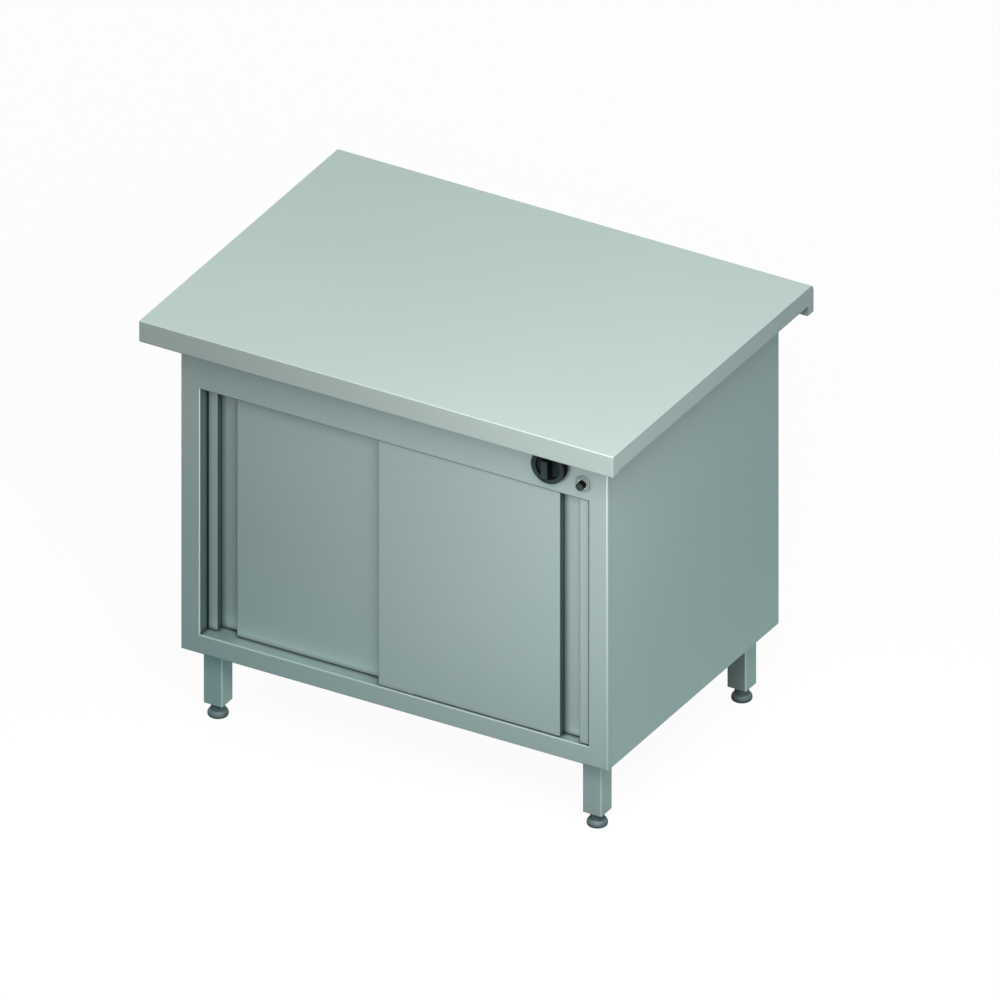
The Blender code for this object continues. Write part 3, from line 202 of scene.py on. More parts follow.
def rounded(centre: Pair, half: Pair, radius: float) -> Array:
    """Draws a rectangle with arcs for corners.

    Args:
        centre: its centre.
        half: half its width and half its height.
        radius: the arcs' radius.

    Returns:
        The outline: the four arc centres, each plus the radius at angles a quarter turn on.
    """
    signs = np.array([(1, -1), (1, 1), (-1, 1), (-1, -1)])
    corner = np.array(centre) + signs * (np.array(half) - radius)
    turn = np.pi / 2 * (np.arange(4)[:, None] - 1 + np.linspace(0, 1, BEND_STEPS + 1))
    arc = np.stack([np.cos(turn), np.sin(turn)], axis=-1)
    return (corner[:, None] + radius * arc).reshape(-1, 2)


def set_square(outline: Array, axis: Axis, station: float | Array) -> Array:
    """Stands an outline square to an axis.

    Args:
        outline: points a, b, which are the other two axes in X, Y, Z order.
        axis: the axis.
        station: where along it, one place or one for each point.

    Returns:
        The points in three dimensions.
    """
    place = np.broadcast_to(station, outline.shape[:-1])
    return np.insert(outline, axis.value, place, axis=-1)


def carried(outline: Array, low: float, high: float) -> Patch:
    """Carries a closed outline straight up, from one height to another."""
    return Patch(np.stack([set_square(outline, Axis.Z, z) for z in (low, high)]))


def turned(profile: Array, axis: Axis, centre: Pair, sides: int,
           ring: bool = False, flats: float | Array = 0.0, first_flat: float = 0.0) -> Patch:
    """Turns a profile about an axis; a row may be cut to a hexagon.

    Args:
        profile: radius and station along the axis of each row.
        axis: the axis that it turns about.
        centre: where the axis stands, in the other two coordinates.
        sides: the columns of the grid.
        ring: true where the profile closes on itself round a bore.
        flats: half the width across flats of each row's hexagon, or zero for a round row.
        first_flat: the angle that one of the flats faces.

    Returns:
        The patch. At the angle t a row stands at its radius r, or where the hexagon with the
        half width w is nearer, at w over the cosine of t's distance from the nearest flat.
    """
    turn = 2 * np.pi * np.arange(sides) / sides
    sixth = np.pi / 3
    hexagon = 1 / np.cos((turn - first_flat + sixth / 2) % sixth - sixth / 2)
    width = np.broadcast_to(flats, profile.shape[:1])[:, None]
    radius = np.where(width > 0, np.minimum(profile[:, :1], width * hexagon), profile[:, :1])
    outline = np.stack([np.cos(turn), np.sin(turn)], axis=-1) * radius[..., None]
    points = set_square(outline + np.array(centre), axis, profile[:, 1:])
    return Patch(points, along=ring, capped=not ring)


def make_piece(name: str, patches: tuple[Patch, ...]) -> bpy.types.Object:
    """Makes one object from closed patches.

    Args:
        name: the piece's name.
        patches: its skins.

    Returns:
        The object at the origin, with shared points merged and soft edges under 35 degrees.
    """
    faces: list[list[int]] = []
    start = 0
    for patch in patches:
        faces += [[corner + start for corner in face] for face in patch.faces()]
        start += patch.points.shape[0] * patch.points.shape[1]
    points = np.vstack([patch.points.reshape(-1, 3) for patch in patches])
    mesh = bpy.data.meshes.new(name)
    mesh.from_pydata(points.tolist(), [], faces)
    work = bmesh.new()
    work.from_mesh(mesh)
    bmesh.ops.remove_doubles(work, verts=work.verts, dist=MERGE)
    bmesh.ops.dissolve_degenerate(work, edges=work.edges, dist=MERGE)
    work.to_mesh(mesh)
    work.free()
    mesh.shade_smooth()
    mesh.set_sharp_from_angle(angle=SOFT_ANGLE)
    piece = bpy.data.objects.new(name, mesh)
    bpy.context.scene.collection.objects.link(piece)
    flat = piece.modifiers.new("flat_faces_stay_flat", "WEIGHTED_NORMAL")
    flat.keep_sharp = True
    return piece


# Finishes

def linear(colour: str) -> tuple[float, float, float, float]:
    """Turns an sRGB hex colour to the linear values that the shader takes."""
    share = np.array([int(colour[k:k + 2], 16) for k in (1, 3, 5)]) / 255
    value = np.where(share <= 0.04045, share / 12.92, ((share + 0.055) / 1.055) ** 2.4)
    return (*value.tolist(), 1.0)


def add_node(tree: Tree, kind: str, settings: dict | None = None,
             links: dict | None = None) -> Node:
    """Adds a node with its settings and links.

    Args:
        tree: the node tree.
        kind: the node's type, without its common prefix.
        settings: attributes by name, and input values under their socket's name or number.
        links: for an input's name or number, the node and output that feed it.

    Returns:
        The node.
    """
    node = tree.nodes.new(f"ShaderNode{kind}")
    for key, value in (settings or {}).items():
        if isinstance(key, str) and hasattr(node, key):
            setattr(node, key, value)
        else:
            node.inputs[key].default_value = value
    for key, (source, output) in (links or {}).items():
        tree.links.new(source.outputs[output], node.inputs[key])
    return node


def mixed(tree: Tree, share: Output, low: str | Node,
          high: str | Node) -> Node:
    """Adds a mix of two colours.

    Args:
        tree: the node tree.
        share: the node and output that give the second colour's share.
        low: the first colour, as hex text or as the mix that it comes from.
        high: the second colour, likewise.

    Returns:
        The mix.
    """
    settings, links = {"data_type": "RGBA"}, {0: share}
    for socket, tone in ((MIX_LOW, low), (MIX_HIGH, high)):
        if isinstance(tone, str):
            settings[socket] = linear(tone)
        else:
            links[socket] = (tone, MIX_RESULT)
    return add_node(tree, "Mix", settings, links)


class Fine(Enum):
    """A fine pattern: noise, or the cells of crystals, chips or fibres."""

    NOISE = ("TexNoise", "Fac")
    CELLS = ("TexVoronoi", "Distance")


class PaintedLight(Enum):
    """Where a surface gets a paler tone of painted light: nowhere, on upright bends as a painted
    highlight, or on what faces the front as painted light.

    The values are the shares of the normal at which it starts and is full.
    """

    NONE = ()
    BENDS = (0.1, 0.5)
    FRONTS = (0.5, 0.95)


@dataclass(frozen=True)
class Finish:
    """A surface: two close tones in soft clouds, a fine pattern in its gloss and its relief.

    Sizes are in millimetres. cloud is how wide the tones wander, pitch is the fine pattern's
    spacing, gloss is the spread of roughness over it and relief is its height. corner_shade is
    a painted shade: a dark tone mixed in where the space within corner_shade_reach is closed,
    the sooner the higher corner_shade_power is. recess_shade is a painted shade on faces turned
    from the front in the opening. painted_light_tone is a paler tone of painted light, a painted
    highlight on upright bends and painted light on front faces, which are painted_light_gloss
    smoother there. specular is the strength of a plastic's mirror.
    """

    name: str
    colour: str
    shade: str
    roughness: float
    metallic: float = 0.0
    cloud: float = 200.0
    pitch: float = 2.0
    gloss: float = 0.04
    relief: float = 0.02
    fine: Fine = Fine.NOISE
    grain: Axis | None = None
    corner_shade: str = ""
    corner_shade_power: float = 1.6
    corner_shade_reach: float = 20.0
    recess_shade: str = ""
    painted_light: PaintedLight = PaintedLight.NONE
    painted_light_tone: str = ""
    painted_light_gloss: float = 0.0
    specular: float = 0.5

    def painted_light_share(self, tree: Tree, place: Node) -> Output:
        """Adds the share that gets the paler tone of painted light.

        On bends it is the lesser of the normal's X and Y, which is nil on all faces square to
        an axis and on level bends. On fronts it is the normal's Y.
        """
        size = add_node(tree, "VectorMath", {"operation": "ABSOLUTE"}, {0: (place, "Normal")})
        part = add_node(tree, "SeparateXYZ", {}, {0: (size, "Vector")})
        source = (part, "Y")
        if self.painted_light is PaintedLight.BENDS:
            least = add_node(tree, "Math", {"operation": "MINIMUM"}, {0: (part, "X"), 1: source})
            source = (least, "Value")
        start, full = self.painted_light.value
        share = add_node(tree, "MapRange", {"From Min": start, "From Max": full},
                         {"Value": source})
        return share, "Result"

    def recess_shade_share(self, tree: Tree, place: Node) -> Node:
        """Adds the share of painted shade: what is turned from the front in the opening."""
        size = add_node(tree, "VectorMath", {"operation": "ABSOLUTE"}, {0: (place, "Normal")})
        turned_away = add_node(tree, "VectorMath", {"operation": "DOT_PRODUCT", 1: RECESS_SHADE_SHARES},
                               {0: (size, "Vector")})
        spot = add_node(tree, "VectorMath", {"operation": "ABSOLUTE"}, {0: (place, "Object")})
        across = add_node(tree, "SeparateXYZ", {}, {0: (spot, "Vector")})
        inside = add_node(
            tree, "MapRange", {"From Min": RECESS_SHADE_LIMIT, "From Max": RECESS_SHADE_LIMIT - RECESS_SHADE_END},
            {"Value": (across, "X")})
        return add_node(tree, "Math", {"operation": "MULTIPLY"},
                        {0: (turned_away, "Value"), 1: (inside, "Result")})

    def coloured(self, tree: Tree, place: Node) -> Node:
        """Adds the colour.

        Args:
            tree: the material's nodes.
            place: its coordinates.

        Returns:
            A mix of the two tones by wide noise, then of a painted shade on faces turned from the
            front in the opening, of a paler tone of painted light under its mask and of a dark
            painted shade in inner corners.
        """
        cloud = add_node(
            tree, "TexNoise", {"Scale": 1 / (self.cloud * MM), "Detail": 1.0},
            {"Vector": (place, "Object")})
        tone = mixed(tree, (cloud, "Fac"), self.shade, self.colour)
        # Painted shade: a darker tone on faces turned from the front in the opening.
        if self.recess_shade:
            tone = mixed(tree, (self.recess_shade_share(tree, place), "Value"), tone, self.recess_shade)
        # Painted light: a paler tone under the mask, a highlight on bends and light on fronts.
        if self.painted_light is not PaintedLight.NONE:
            tone = mixed(tree, self.painted_light_share(tree, place), tone, self.painted_light_tone)
        if not self.corner_shade:
            return tone
        # Painted shade: a dark tone where the ambient occlusion finds closed space.
        space = add_node(tree, "AmbientOcclusion",
                         {"samples": CORNER_SHADE_RAYS, "Distance": self.corner_shade_reach * MM})
        unshaded = add_node(tree, "Math", {"operation": "POWER", 1: self.corner_shade_power},
                         {0: (space, "AO")})
        return mixed(tree, (unshaded, "Value"), self.corner_shade, tone)

    def pattern(self, tree: Tree, place: Node) -> Output:
        """Adds the fine pattern at its pitch, drawn out along the grain."""
        scale = [STREAK if axis is self.grain else 1.0 for axis in Axis]
        stretch = add_node(tree, "Mapping", {"Scale": scale}, {"Vector": (place, "Object")})
        kind, output = self.fine.value
        fine = add_node(tree, kind, {"Scale": 1 / (self.pitch * MM)},
                        {"Vector": (stretch, "Vector")})
        return fine, output

    def material(self) -> bpy.types.Material:
        """Builds the material, once.

        Returns:
            A Principled material with this colour, whose roughness and bump follow the fine
            pattern. What gets the paler tone of painted light is smoother.
        """
        made = bpy.data.materials.get(self.name)
        if made:
            return made
        made = bpy.data.materials.new(self.name)
        made.use_nodes = True
        tree = made.node_tree
        shader = tree.nodes["Principled BSDF"]
        shader.inputs["Metallic"].default_value = self.metallic
        shader.inputs["Specular IOR Level"].default_value = self.specular
        place = add_node(tree, "TexCoord")
        colour = self.coloured(tree, place)
        tree.links.new(colour.outputs[MIX_RESULT], shader.inputs["Base Color"])
        source, output = self.pattern(tree, place)
        rough = add_node(
            tree, "MapRange",
            {"To Min": self.roughness - self.gloss, "To Max": self.roughness + self.gloss},
            {"Value": (source, output)})
        if self.painted_light_gloss:
            rough = add_node(tree, "Math", {"operation": "MULTIPLY_ADD", 1: -self.painted_light_gloss},
                             {0: self.painted_light_share(tree, place), 2: (rough, "Result")})
        tree.links.new(rough.outputs[0], shader.inputs["Roughness"])
        bump = add_node(
            tree, "Bump", {"Strength": 1.0, "Distance": self.relief * MM},
            {"Height": (source, output)})
        tree.links.new(bump.outputs["Normal"], shader.inputs["Normal"])
        return made


# Real patterns that are too fine to show, such as scratches, roll lines, tool marks, fibres and
# the grain of a mould, are drawn 0.7 to 3 mm coarse.

# Stainless sheet ground along X with a 240 grit belt, whose scratches, about 0.05 mm apart, blur
# the reflections softly: the level and long sheets. Upright bends get a paler tone, a painted
# highlight, and inner corners a dark painted shade.
STEEL_X = Finish("stainless_sheet_ground_along_x", "#B7CAC7", "#B2C6C3", 0.62, 1.0, cloud=320.0,
                 pitch=1.6, gloss=0.025, relief=0.002, grain=Axis.X, corner_shade="#20302F",
                 painted_light=PaintedLight.BENDS, painted_light_tone="#D4E0DD")
# The worktop: no painted highlight on its bends, and a deep, far-reaching painted shade that
# darkens the hollows behind its rims. Its tones are a touch paler and warmer than the other
# sheet's, painted light on the top.
TOP_STEEL = replace(STEEL_X, name="stainless_worktop_ground_along_x", colour="#BCCCC9",
                    shade="#B7C8C5", painted_light=PaintedLight.NONE, corner_shade_power=2.5, corner_shade_reach=60.0)
# The front: faces turned from the front round its opening get a darker painted shade, and its
# painted corner shade reaches only 9 mm.
FRONT_STEEL = replace(STEEL_X, name="stainless_front_ground_along_x", corner_shade_reach=9.0,
                      recess_shade="#6C8280")
# Ground along Y: the sides of the cabinet, whose long way is front to back.
STEEL_Y = replace(STEEL_X, name="stainless_sheet_ground_along_y", grain=Axis.Y)
# Ground along Z: doors and tubes, whose scratches stand upright.
STEEL_Z = replace(STEEL_X, name="stainless_sheet_ground_along_z", grain=Axis.Z)
# The doors: no painted highlight on their bends, a weaker and shorter painted corner shade, and a
# dark painted shade on the walls of their pull channels.
DOOR_STEEL = replace(STEEL_Z, name="stainless_door_ground_along_z", painted_light=PaintedLight.NONE,
                     corner_shade_power=1.0, corner_shade_reach=12.0, recess_shade="#56696A")
# Cold rolled steel strip keeps faint roll lines and a duller, darker gloss than ground sheet.
TRACK_STEEL = Finish("cold_rolled_steel_strip", "#9AA5A2", "#8F9A98", 0.42, 1.0, cloud=90.0,
                     pitch=2.0, relief=0.004, grain=Axis.X)
# A stainless foot turned on a lathe: its tool marks lie level, so the pattern is thin in Z.
FOOT_STEEL = Finish("turned_stainless_steel", "#748688", "#6B7D7F", 0.75, 1.0, cloud=15.0,
                    pitch=1.2, relief=0.004, grain=Axis.X)
# Bright zinc plate on steel: a slightly blue grey with the soft blotches of its passivation.
ZINC = Finish("zinc_plated_steel", "#C3C9CC", "#AFB6BA", 0.34, 1.0, cloud=18.0, pitch=2.5,
              gloss=0.05, relief=0.004, fine=Fine.CELLS)
# The limiter's nut: the same plate, but tumbled dull, so it is no brighter than the rail.
DULL_ZINC = Finish("tumbled_zinc_plate", "#A2B8B5", "#98AEAB", 0.62, 1.0, cloud=12.0, pitch=1.0,
                   relief=0.004)
# A heater sheath of chrome nickel steel, drawn bright and dulled grey green by its own heat.
SHEATH = Finish("annealed_heater_sheath", "#6F726A", "#57544C", 0.48, 1.0, cloud=30.0,
                pitch=1.5, gloss=0.06, relief=0.01)
# Glass filled polyamide, moulded against a spark eroded tool: black with a fine matt grain.
# Its front faces get a paler, smoother tone, painted light, and its inner corners a painted shade.
BLACK_PLASTIC = Finish("moulded_black_polyamide", "#040708", "#030606", 0.85, cloud=25.0,
                       pitch=0.9, gloss=0.05, relief=0.01, corner_shade="#010202", painted_light=PaintedLight.FRONTS,
                       painted_light_tone="#222E30", painted_light_gloss=0.38, specular=0.1)
# The button: the same plastic, moulded without the grain; its face gets a paler tone of painted
# light.
SMOOTH_PLASTIC = replace(BLACK_PLASTIC, name="moulded_smooth_black_polyamide", relief=0.004,
                         painted_light_tone="#2A3637")
# Plain polyamide, moulded smooth: mid grey with a soft sheen.
GREY_PLASTIC = Finish("moulded_grey_polyamide", "#6E7576", "#666D6E", 0.45, cloud=30.0,
                      pitch=1.2, relief=0.008)
# Natural polyamide of a roller or guide: milky white and slightly waxy.
NYLON = Finish("moulded_white_polyamide", "#E4E2D8", "#DCD9CD", 0.42, cloud=12.0, pitch=1.0,
               relief=0.006)
# Unglazed steatite, pressed and fired: a chalky cream with a fine dry grain.
CERAMIC = Finish("fired_steatite", "#E2DCCB", "#D6CFBC", 0.62, cloud=14.0, pitch=0.8,
                 relief=0.02)
# Moulded rubber buffer: near black, without gloss.
RUBBER = Finish("moulded_black_rubber", "#1D1D1D", "#171717", 0.78, cloud=10.0, pitch=0.7,
                relief=0.02)
# Needled stone wool slab: brown green fibres that lie along the slab.
WOOL = Finish("needled_stone_wool", "#A2936B", "#857650", 0.95, cloud=40.0, pitch=3.0,
              gloss=0.03, relief=0.8, fine=Fine.CELLS, grain=Axis.X)
# Raw particle board: pressed chips some 3 mm across, in two straw tones.
BOARD = Finish("pressed_particle_board", "#C2A67C", "#A98B60", 0.78, cloud=9.0, pitch=3.0,
               gloss=0.05, relief=0.15, fine=Fine.CELLS)

DOOR_ENDS = [f"{side}_door_{end}" for side in SIDES.values() for end in ("inner", "outer")]
# The finish of every CAD part that stays.
NODE_FINISHES = (
    (STEEL_X, ("back_liner", "liner_ceiling", "heated_deck", "middle_shelf", "base_panel",
               "back_panel", "right_shelf_rail", "left_shelf_rail")),
    (STEEL_Y, ("right_liner", "left_liner")),
    (STEEL_Z, ("right_door_back", "left_door_back")),
    (TRACK_STEEL, ("door_track",)),
    (ZINC, ("right_heater_bracket", "left_heater_bracket", "thermostat_stem",
            "thermostat_bulb", "limiter_housing", "bonding_stud")),
    (ZINC, [f"{end}_hanger" for end in DOOR_ENDS]),
    (NYLON, [f"{end}_roller" for end in DOOR_ENDS]),
    (NYLON, ("bottom_guide",)),
    (RUBBER, ("right_door_stop", "left_door_stop")),
    (WOOL, ("right_insulation", "left_insulation", "back_insulation", "top_insulation")),
    (BOARD, ("worktop_board",)),
    (SHEATH, ("heater_element",)),
    (CERAMIC, ("thermostat_body", "terminal_block")),
    (GREY_PLASTIC, [f"{end}_{side}_leg_insert"
                    for end in ("front", "back") for side in SIDES.values()]),
)


def dress_nodes() -> None:
    """Gives every CAD part that stays its finish, in its own material slots."""
    for finish, names in NODE_FINISHES:
        for name in names:
            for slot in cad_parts[name].material_slots:
                slot.material = finish.material()
            log.info("dressed %s: %s", name, finish.name)


def stand_in(name: str, node: str, body: str, slot: str, finish: Finish,
             *patches: Patch) -> None:
    """Makes a piece, dresses it and puts it in the place of a CAD part.

    Args:
        name: the piece's name.
        node: the CAD part that it stands for.
        body: the moving body that it rides on.
        slot: the material slot of the record, which is not used.
        finish: its finish.
        patches: its skins.
    """
    piece = make_piece(name, patches)
    piece.data.materials.append(finish.material())
    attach(piece, body)
    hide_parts(node)
    log.info("built %s on %s: %s", name, body, finish.name)


# Sub-assemblies

@dataclass
class Worktop:
    """The folded top: a box rim in front, a deeper one behind, a hemmed flange at each side."""

    half_width: float = 0.500
    half_depth: float = 0.367
    top: float = 0.860
    sheet: float = 0.0015
    bend: float = 0.0022
    back_bend: float = 0.014
    corner: float = 0.0012
    lower_bend: float = 0.0025
    rim_depth: float = 0.020
    front_rim: float = 0.045
    side_flange: float = 0.040
    rear_rim: float = 0.060
    rim_slit: float = 0.003
    corner_points: int = 5

    def rows(self) -> tuple[Array, Array]:
        """Works out the section of the sheet for the front, the sides and the back.

        Returns:
            The rows of the outer skin, from the top face over the bend, down the rim, under it
            and up its inner wall, and those of the inner skin, back down inside and up to the
            sheet's underside. Each row has three pairs of an inset from the edge and a height.
        """
        quarter = np.linspace(0, np.pi / 2, BEND_STEPS + 1)
        depth = np.unique(np.concatenate([
            self.bend * (1 - np.cos(quarter)), self.back_bend * (1 - np.cos(quarter))]).round(7))
        floor = self.top - np.array([self.front_rim, self.side_flange, self.rear_rim])
        bends = np.array([self.bend, self.bend, self.back_bend])

        def paired(inset: Array | float, height: Array | float) -> Array:
            """Pairs insets with heights, three pairs to a row."""
            return np.stack(np.broadcast_arrays(inset, height, np.zeros((1, 3)))[:2], axis=-1)

        outer = paired(drawn_in(bends, depth[:, None]), self.top - depth[:, None])
        under = paired(self.lower_bend * (1 - np.cos(quarter))[:, None],
                       floor + self.lower_bend * (1 - np.sin(quarter))[:, None])
        wall_top = self.top - self.sheet - self.rim_slit
        crest = np.array([wall_top, floor[1] + self.sheet, wall_top])
        inner_depth = np.append(depth[depth >= self.sheet][::-1], self.sheet)[:, None]
        inner = paired(self.sheet + drawn_in(bends - self.sheet, inner_depth - self.sheet),
                       self.top - inner_depth)
        outer_skin = np.concatenate([
            outer, under, paired(self.rim_depth, floor), paired(self.rim_depth, crest)])
        inner_skin = np.concatenate([
            paired(self.rim_depth - self.sheet, crest),
            paired(self.rim_depth - self.sheet, floor + self.sheet),
            paired(self.sheet, floor + self.sheet), inner])
        return outer_skin, inner_skin

    def stations(self) -> tuple[Array, Array, Array]:
        """Works out the places round the edge, counter-clockwise from the front left.

        Returns:
            The corner or side signs in X and Y, the arc's angle (nan on a straight side) and
            which section each takes: 0 front, 1 side, 2 back. A side has its section's change
            at the rim's inner wall, where two stations stand together.
        """
        turn = self.corner_points
        arc = np.linspace(0, np.pi / 2, turn)
        straight = np.full(4, np.nan)
        signs = ([(-1, -1)] * turn + [(1, -1)] * (turn + 2) + [(1, 1)] * (turn + 2)
                 + [(-1, 1)] * (turn + 2) + [(-1, -1)] * 2)
        angle = np.concatenate([
            np.pi + arc, 1.5 * np.pi + arc, straight, arc, np.pi / 2 + arc, straight])
        section = [0] * (2 * turn + 1) + [1] * 2 + [2] * (2 * turn + 2) + [1] * 2 + [0]
        return np.array(signs), angle, np.array(section)

    def build(self) -> None:
        """Makes the sheet from its rows at all stations.

        A corner point stands at the corner's arc centre, drawn in by the row's inset, plus
        the corner radius at its angle. A side point stands on the rim's wall, whose two faces
        a sheet apart close the rim's end.
        """
        signs, angle, section = self.stations()
        outer_skin, inner_skin = self.rows()
        rows = np.concatenate([outer_skin, inner_skin])
        inset_x = rows[:, 1:2, 0]
        inset_y = np.where(signs[:, 1] > 0, rows[:, 2:, 0], rows[:, :1, 0])
        height = rows[:, section, 1]
        radius = np.where(rows[:, :1, 0] < self.corner, self.corner, 0.0)
        centre_x = signs[:, 0] * (self.half_width - inset_x - radius)
        centre_y = signs[:, 1] * (self.half_depth - inset_y - radius)
        inside = np.arange(len(rows))[:, None] >= len(outer_skin)
        wall = signs[:, 1] * (self.half_depth - self.rim_depth + self.sheet * inside)
        on_side = np.isnan(angle)
        x = np.where(on_side, signs[:, 0] * (self.half_width - inset_x),
                     centre_x + radius * np.cos(angle))
        y = np.where(on_side, wall, centre_y + radius * np.sin(angle))
        points = np.stack(np.broadcast_arrays(x, y, height), axis=-1)
        stand_in("worktop_sheet", "worktop", "cabinet", "stainless_sheet", TOP_STEEL,
                 Patch(points))


@dataclass
class Casing:
    """The welded front with its opening, and the two side panels."""

    half_width: float = 0.450
    front: float = -0.301
    back: float = 0.327
    low: float = 0.150
    high: float = 0.8399
    opening: float = 0.410
    sill: float = 0.190
    head: float = 0.708
    jamb: float = -0.250
    sheet: float = 0.0015
    bend: float = 0.003
    corner_return: float = 0.015
    back_return: float = 0.020
    gap: float = 0.0003

    def front_frame(self) -> None:
        """Makes the front as one section carried round the cabinet and the opening.

        The section runs across a stile: its outer half follows the cabinet's outline and its
        inner half the opening's, so the wider top rail keeps the same bends. Along the head
        the returns stop behind the rail, where the doors hang.
        """
        stile = self.half_width - self.opening
        section = folded([
            (0.0, self.front + self.corner_return), (0.0, self.front),
            (stile, self.front), (stile, self.jamb)], self.sheet, self.bend)
        across, depth = section[:, :1], section[:, 1:]
        outer = across < stile / 2
        spare = stile - across
        sides = np.array([(-1, -1), (1, -1), (1, 1), (1, 1), (-1, 1), (-1, 1)])
        x = sides[:, 0] * np.where(outer, self.half_width - across, self.opening + spare)
        low = np.where(outer, self.low + across, self.sill - spare)
        high = np.where(outer, self.high - across, self.head + spare)
        z = np.where(sides[:, 1] < 0, low, high)
        at_head = np.array([False, False, False, True, True, False])
        short = np.minimum(depth, self.front + self.sheet + self.gap)
        y = np.where(at_head & ~outer, short, depth)
        points = np.stack([x, y, z], axis=-1)
        stand_in("front_of_cabinet", "front_frame", "cabinet", "stainless_sheet", FRONT_STEEL,
                 Patch(points, along=True))

    def side_panel(self, side: int) -> None:
        """Makes a side: a flat sheet with its back edge turned in, carried upwards."""
        start = self.front + self.corner_return + self.gap
        outline = folded([(self.half_width, start), (self.half_width, self.back),
                          (self.half_width - self.back_return, self.back)], self.sheet, self.bend)
        word = SIDES[side]
        stand_in(f"{word}_side_sheet", f"{word}_side_panel", "cabinet", "stainless_sheet",
                 STEEL_Y, carried(outline * (side, 1), self.low, self.high))

    def build(self) -> None:
        """Makes the front and both sides."""
        self.front_frame()
        self.side_panel(1)
        self.side_panel(-1)


@dataclass
class Door:
    """A sliding door's outer sheet, folded round its full-height pull channel."""

    side: int
    face: float
    outer: float = 0.408
    inner: float = -0.036
    low: float = 0.192
    high: float = 0.712
    thickness: float = 0.020
    sheet: float = 0.001
    bend: float = 0.0014
    flange: float = 0.0195
    pull_width: float = 0.041
    pull_depth: float = 0.0175

    def build(self) -> None:
        """Makes the sheet: its folded outline carried upwards."""
        back = self.face + self.thickness
        channel = self.face + self.pull_depth
        pull_out = self.outer - self.flange
        pull_in = pull_out - self.pull_width
        outline = folded([
            (self.inner, back), (self.inner, self.face), (pull_in, self.face),
            (pull_in, channel), (pull_out, channel), (pull_out, self.face),
            (self.outer, self.face), (self.outer, back)], self.sheet, self.bend)
        word = SIDES[self.side]
        stand_in(f"{word}_door_sheet", f"{word}_door_skin", f"{word}_door", "stainless_sheet",
                 DOOR_STEEL, carried(outline * (self.side, 1), self.low, self.high))


@dataclass
class Leg:
    """A square tube leg and its adjustable foot."""

    end: str
    side: int
    y: float
    x: float = 0.400
    half: float = 0.020
    wall: float = 0.0015
    corner: float = 0.003
    low: float = 0.030
    high: float = 0.1497
    sole: float = 0.0175
    foot: float = 0.0198
    edge: float = 0.0045
    shoulder: float = 0.014
    waist: float = 0.0127
    neck: float = 0.0134
    waist_top: float = 0.0155
    neck_low: float = 0.0161
    neck_top: float = 0.0297
    spindle: float = 0.005
    spindle_top: float = 0.0717

    def tube(self) -> Patch:
        """Works out the tube: rounded squares up the outside and down the inside."""
        centre, inside = (self.side * self.x, self.y), self.half - self.wall
        outer = rounded(centre, (self.half, self.half), self.corner)
        inner = rounded(centre, (inside, inside), self.corner - self.wall)
        rings = [(outer, self.low), (outer, self.high), (inner, self.high), (inner, self.low)]
        return Patch(np.stack([set_square(ring, Axis.Z, z) for ring, z in rings]), along=True)

    def foot_profile(self) -> Array:
        """Works out the foot's profile.

        Returns:
            Radius and height: a quarter ellipse out from the sole, another in to the waist,
            the neck above it with its edges rounded, and the plain spindle.
        """
        turn = np.linspace(0, np.pi / 2, 2 * BEND_STEPS + 1)
        lower = np.stack([self.sole + (self.foot - self.sole) * np.sin(turn),
                          self.edge * (1 - np.cos(turn))], axis=-1)
        upper = np.stack([self.waist + (self.foot - self.waist) * np.cos(turn),
                          self.edge + (self.shoulder - self.edge) * np.sin(turn)], axis=-1)
        above = np.array([
            (self.waist, self.waist_top), (self.neck, self.neck_low), (self.neck, self.neck_top),
            (self.spindle, self.neck_top), (self.spindle, self.spindle_top)])
        return np.vstack([lower, upper[1:], above])

    def build(self) -> None:
        """Makes the tube and the foot."""
        word = f"{self.end}_{SIDES[self.side]}"
        stand_in(f"{word}_leg_tube", f"{word}_leg", "cabinet", "stainless_sheet", STEEL_Z,
                 self.tube())
        foot = turned(self.foot_profile(), Axis.Z, (self.side * self.x, self.y), SMALL_ROUND)
        stand_in(f"{word}_turned_foot", f"{word}_foot", f"foot_{word}", "foot_steel",
                 FOOT_STEEL, foot)


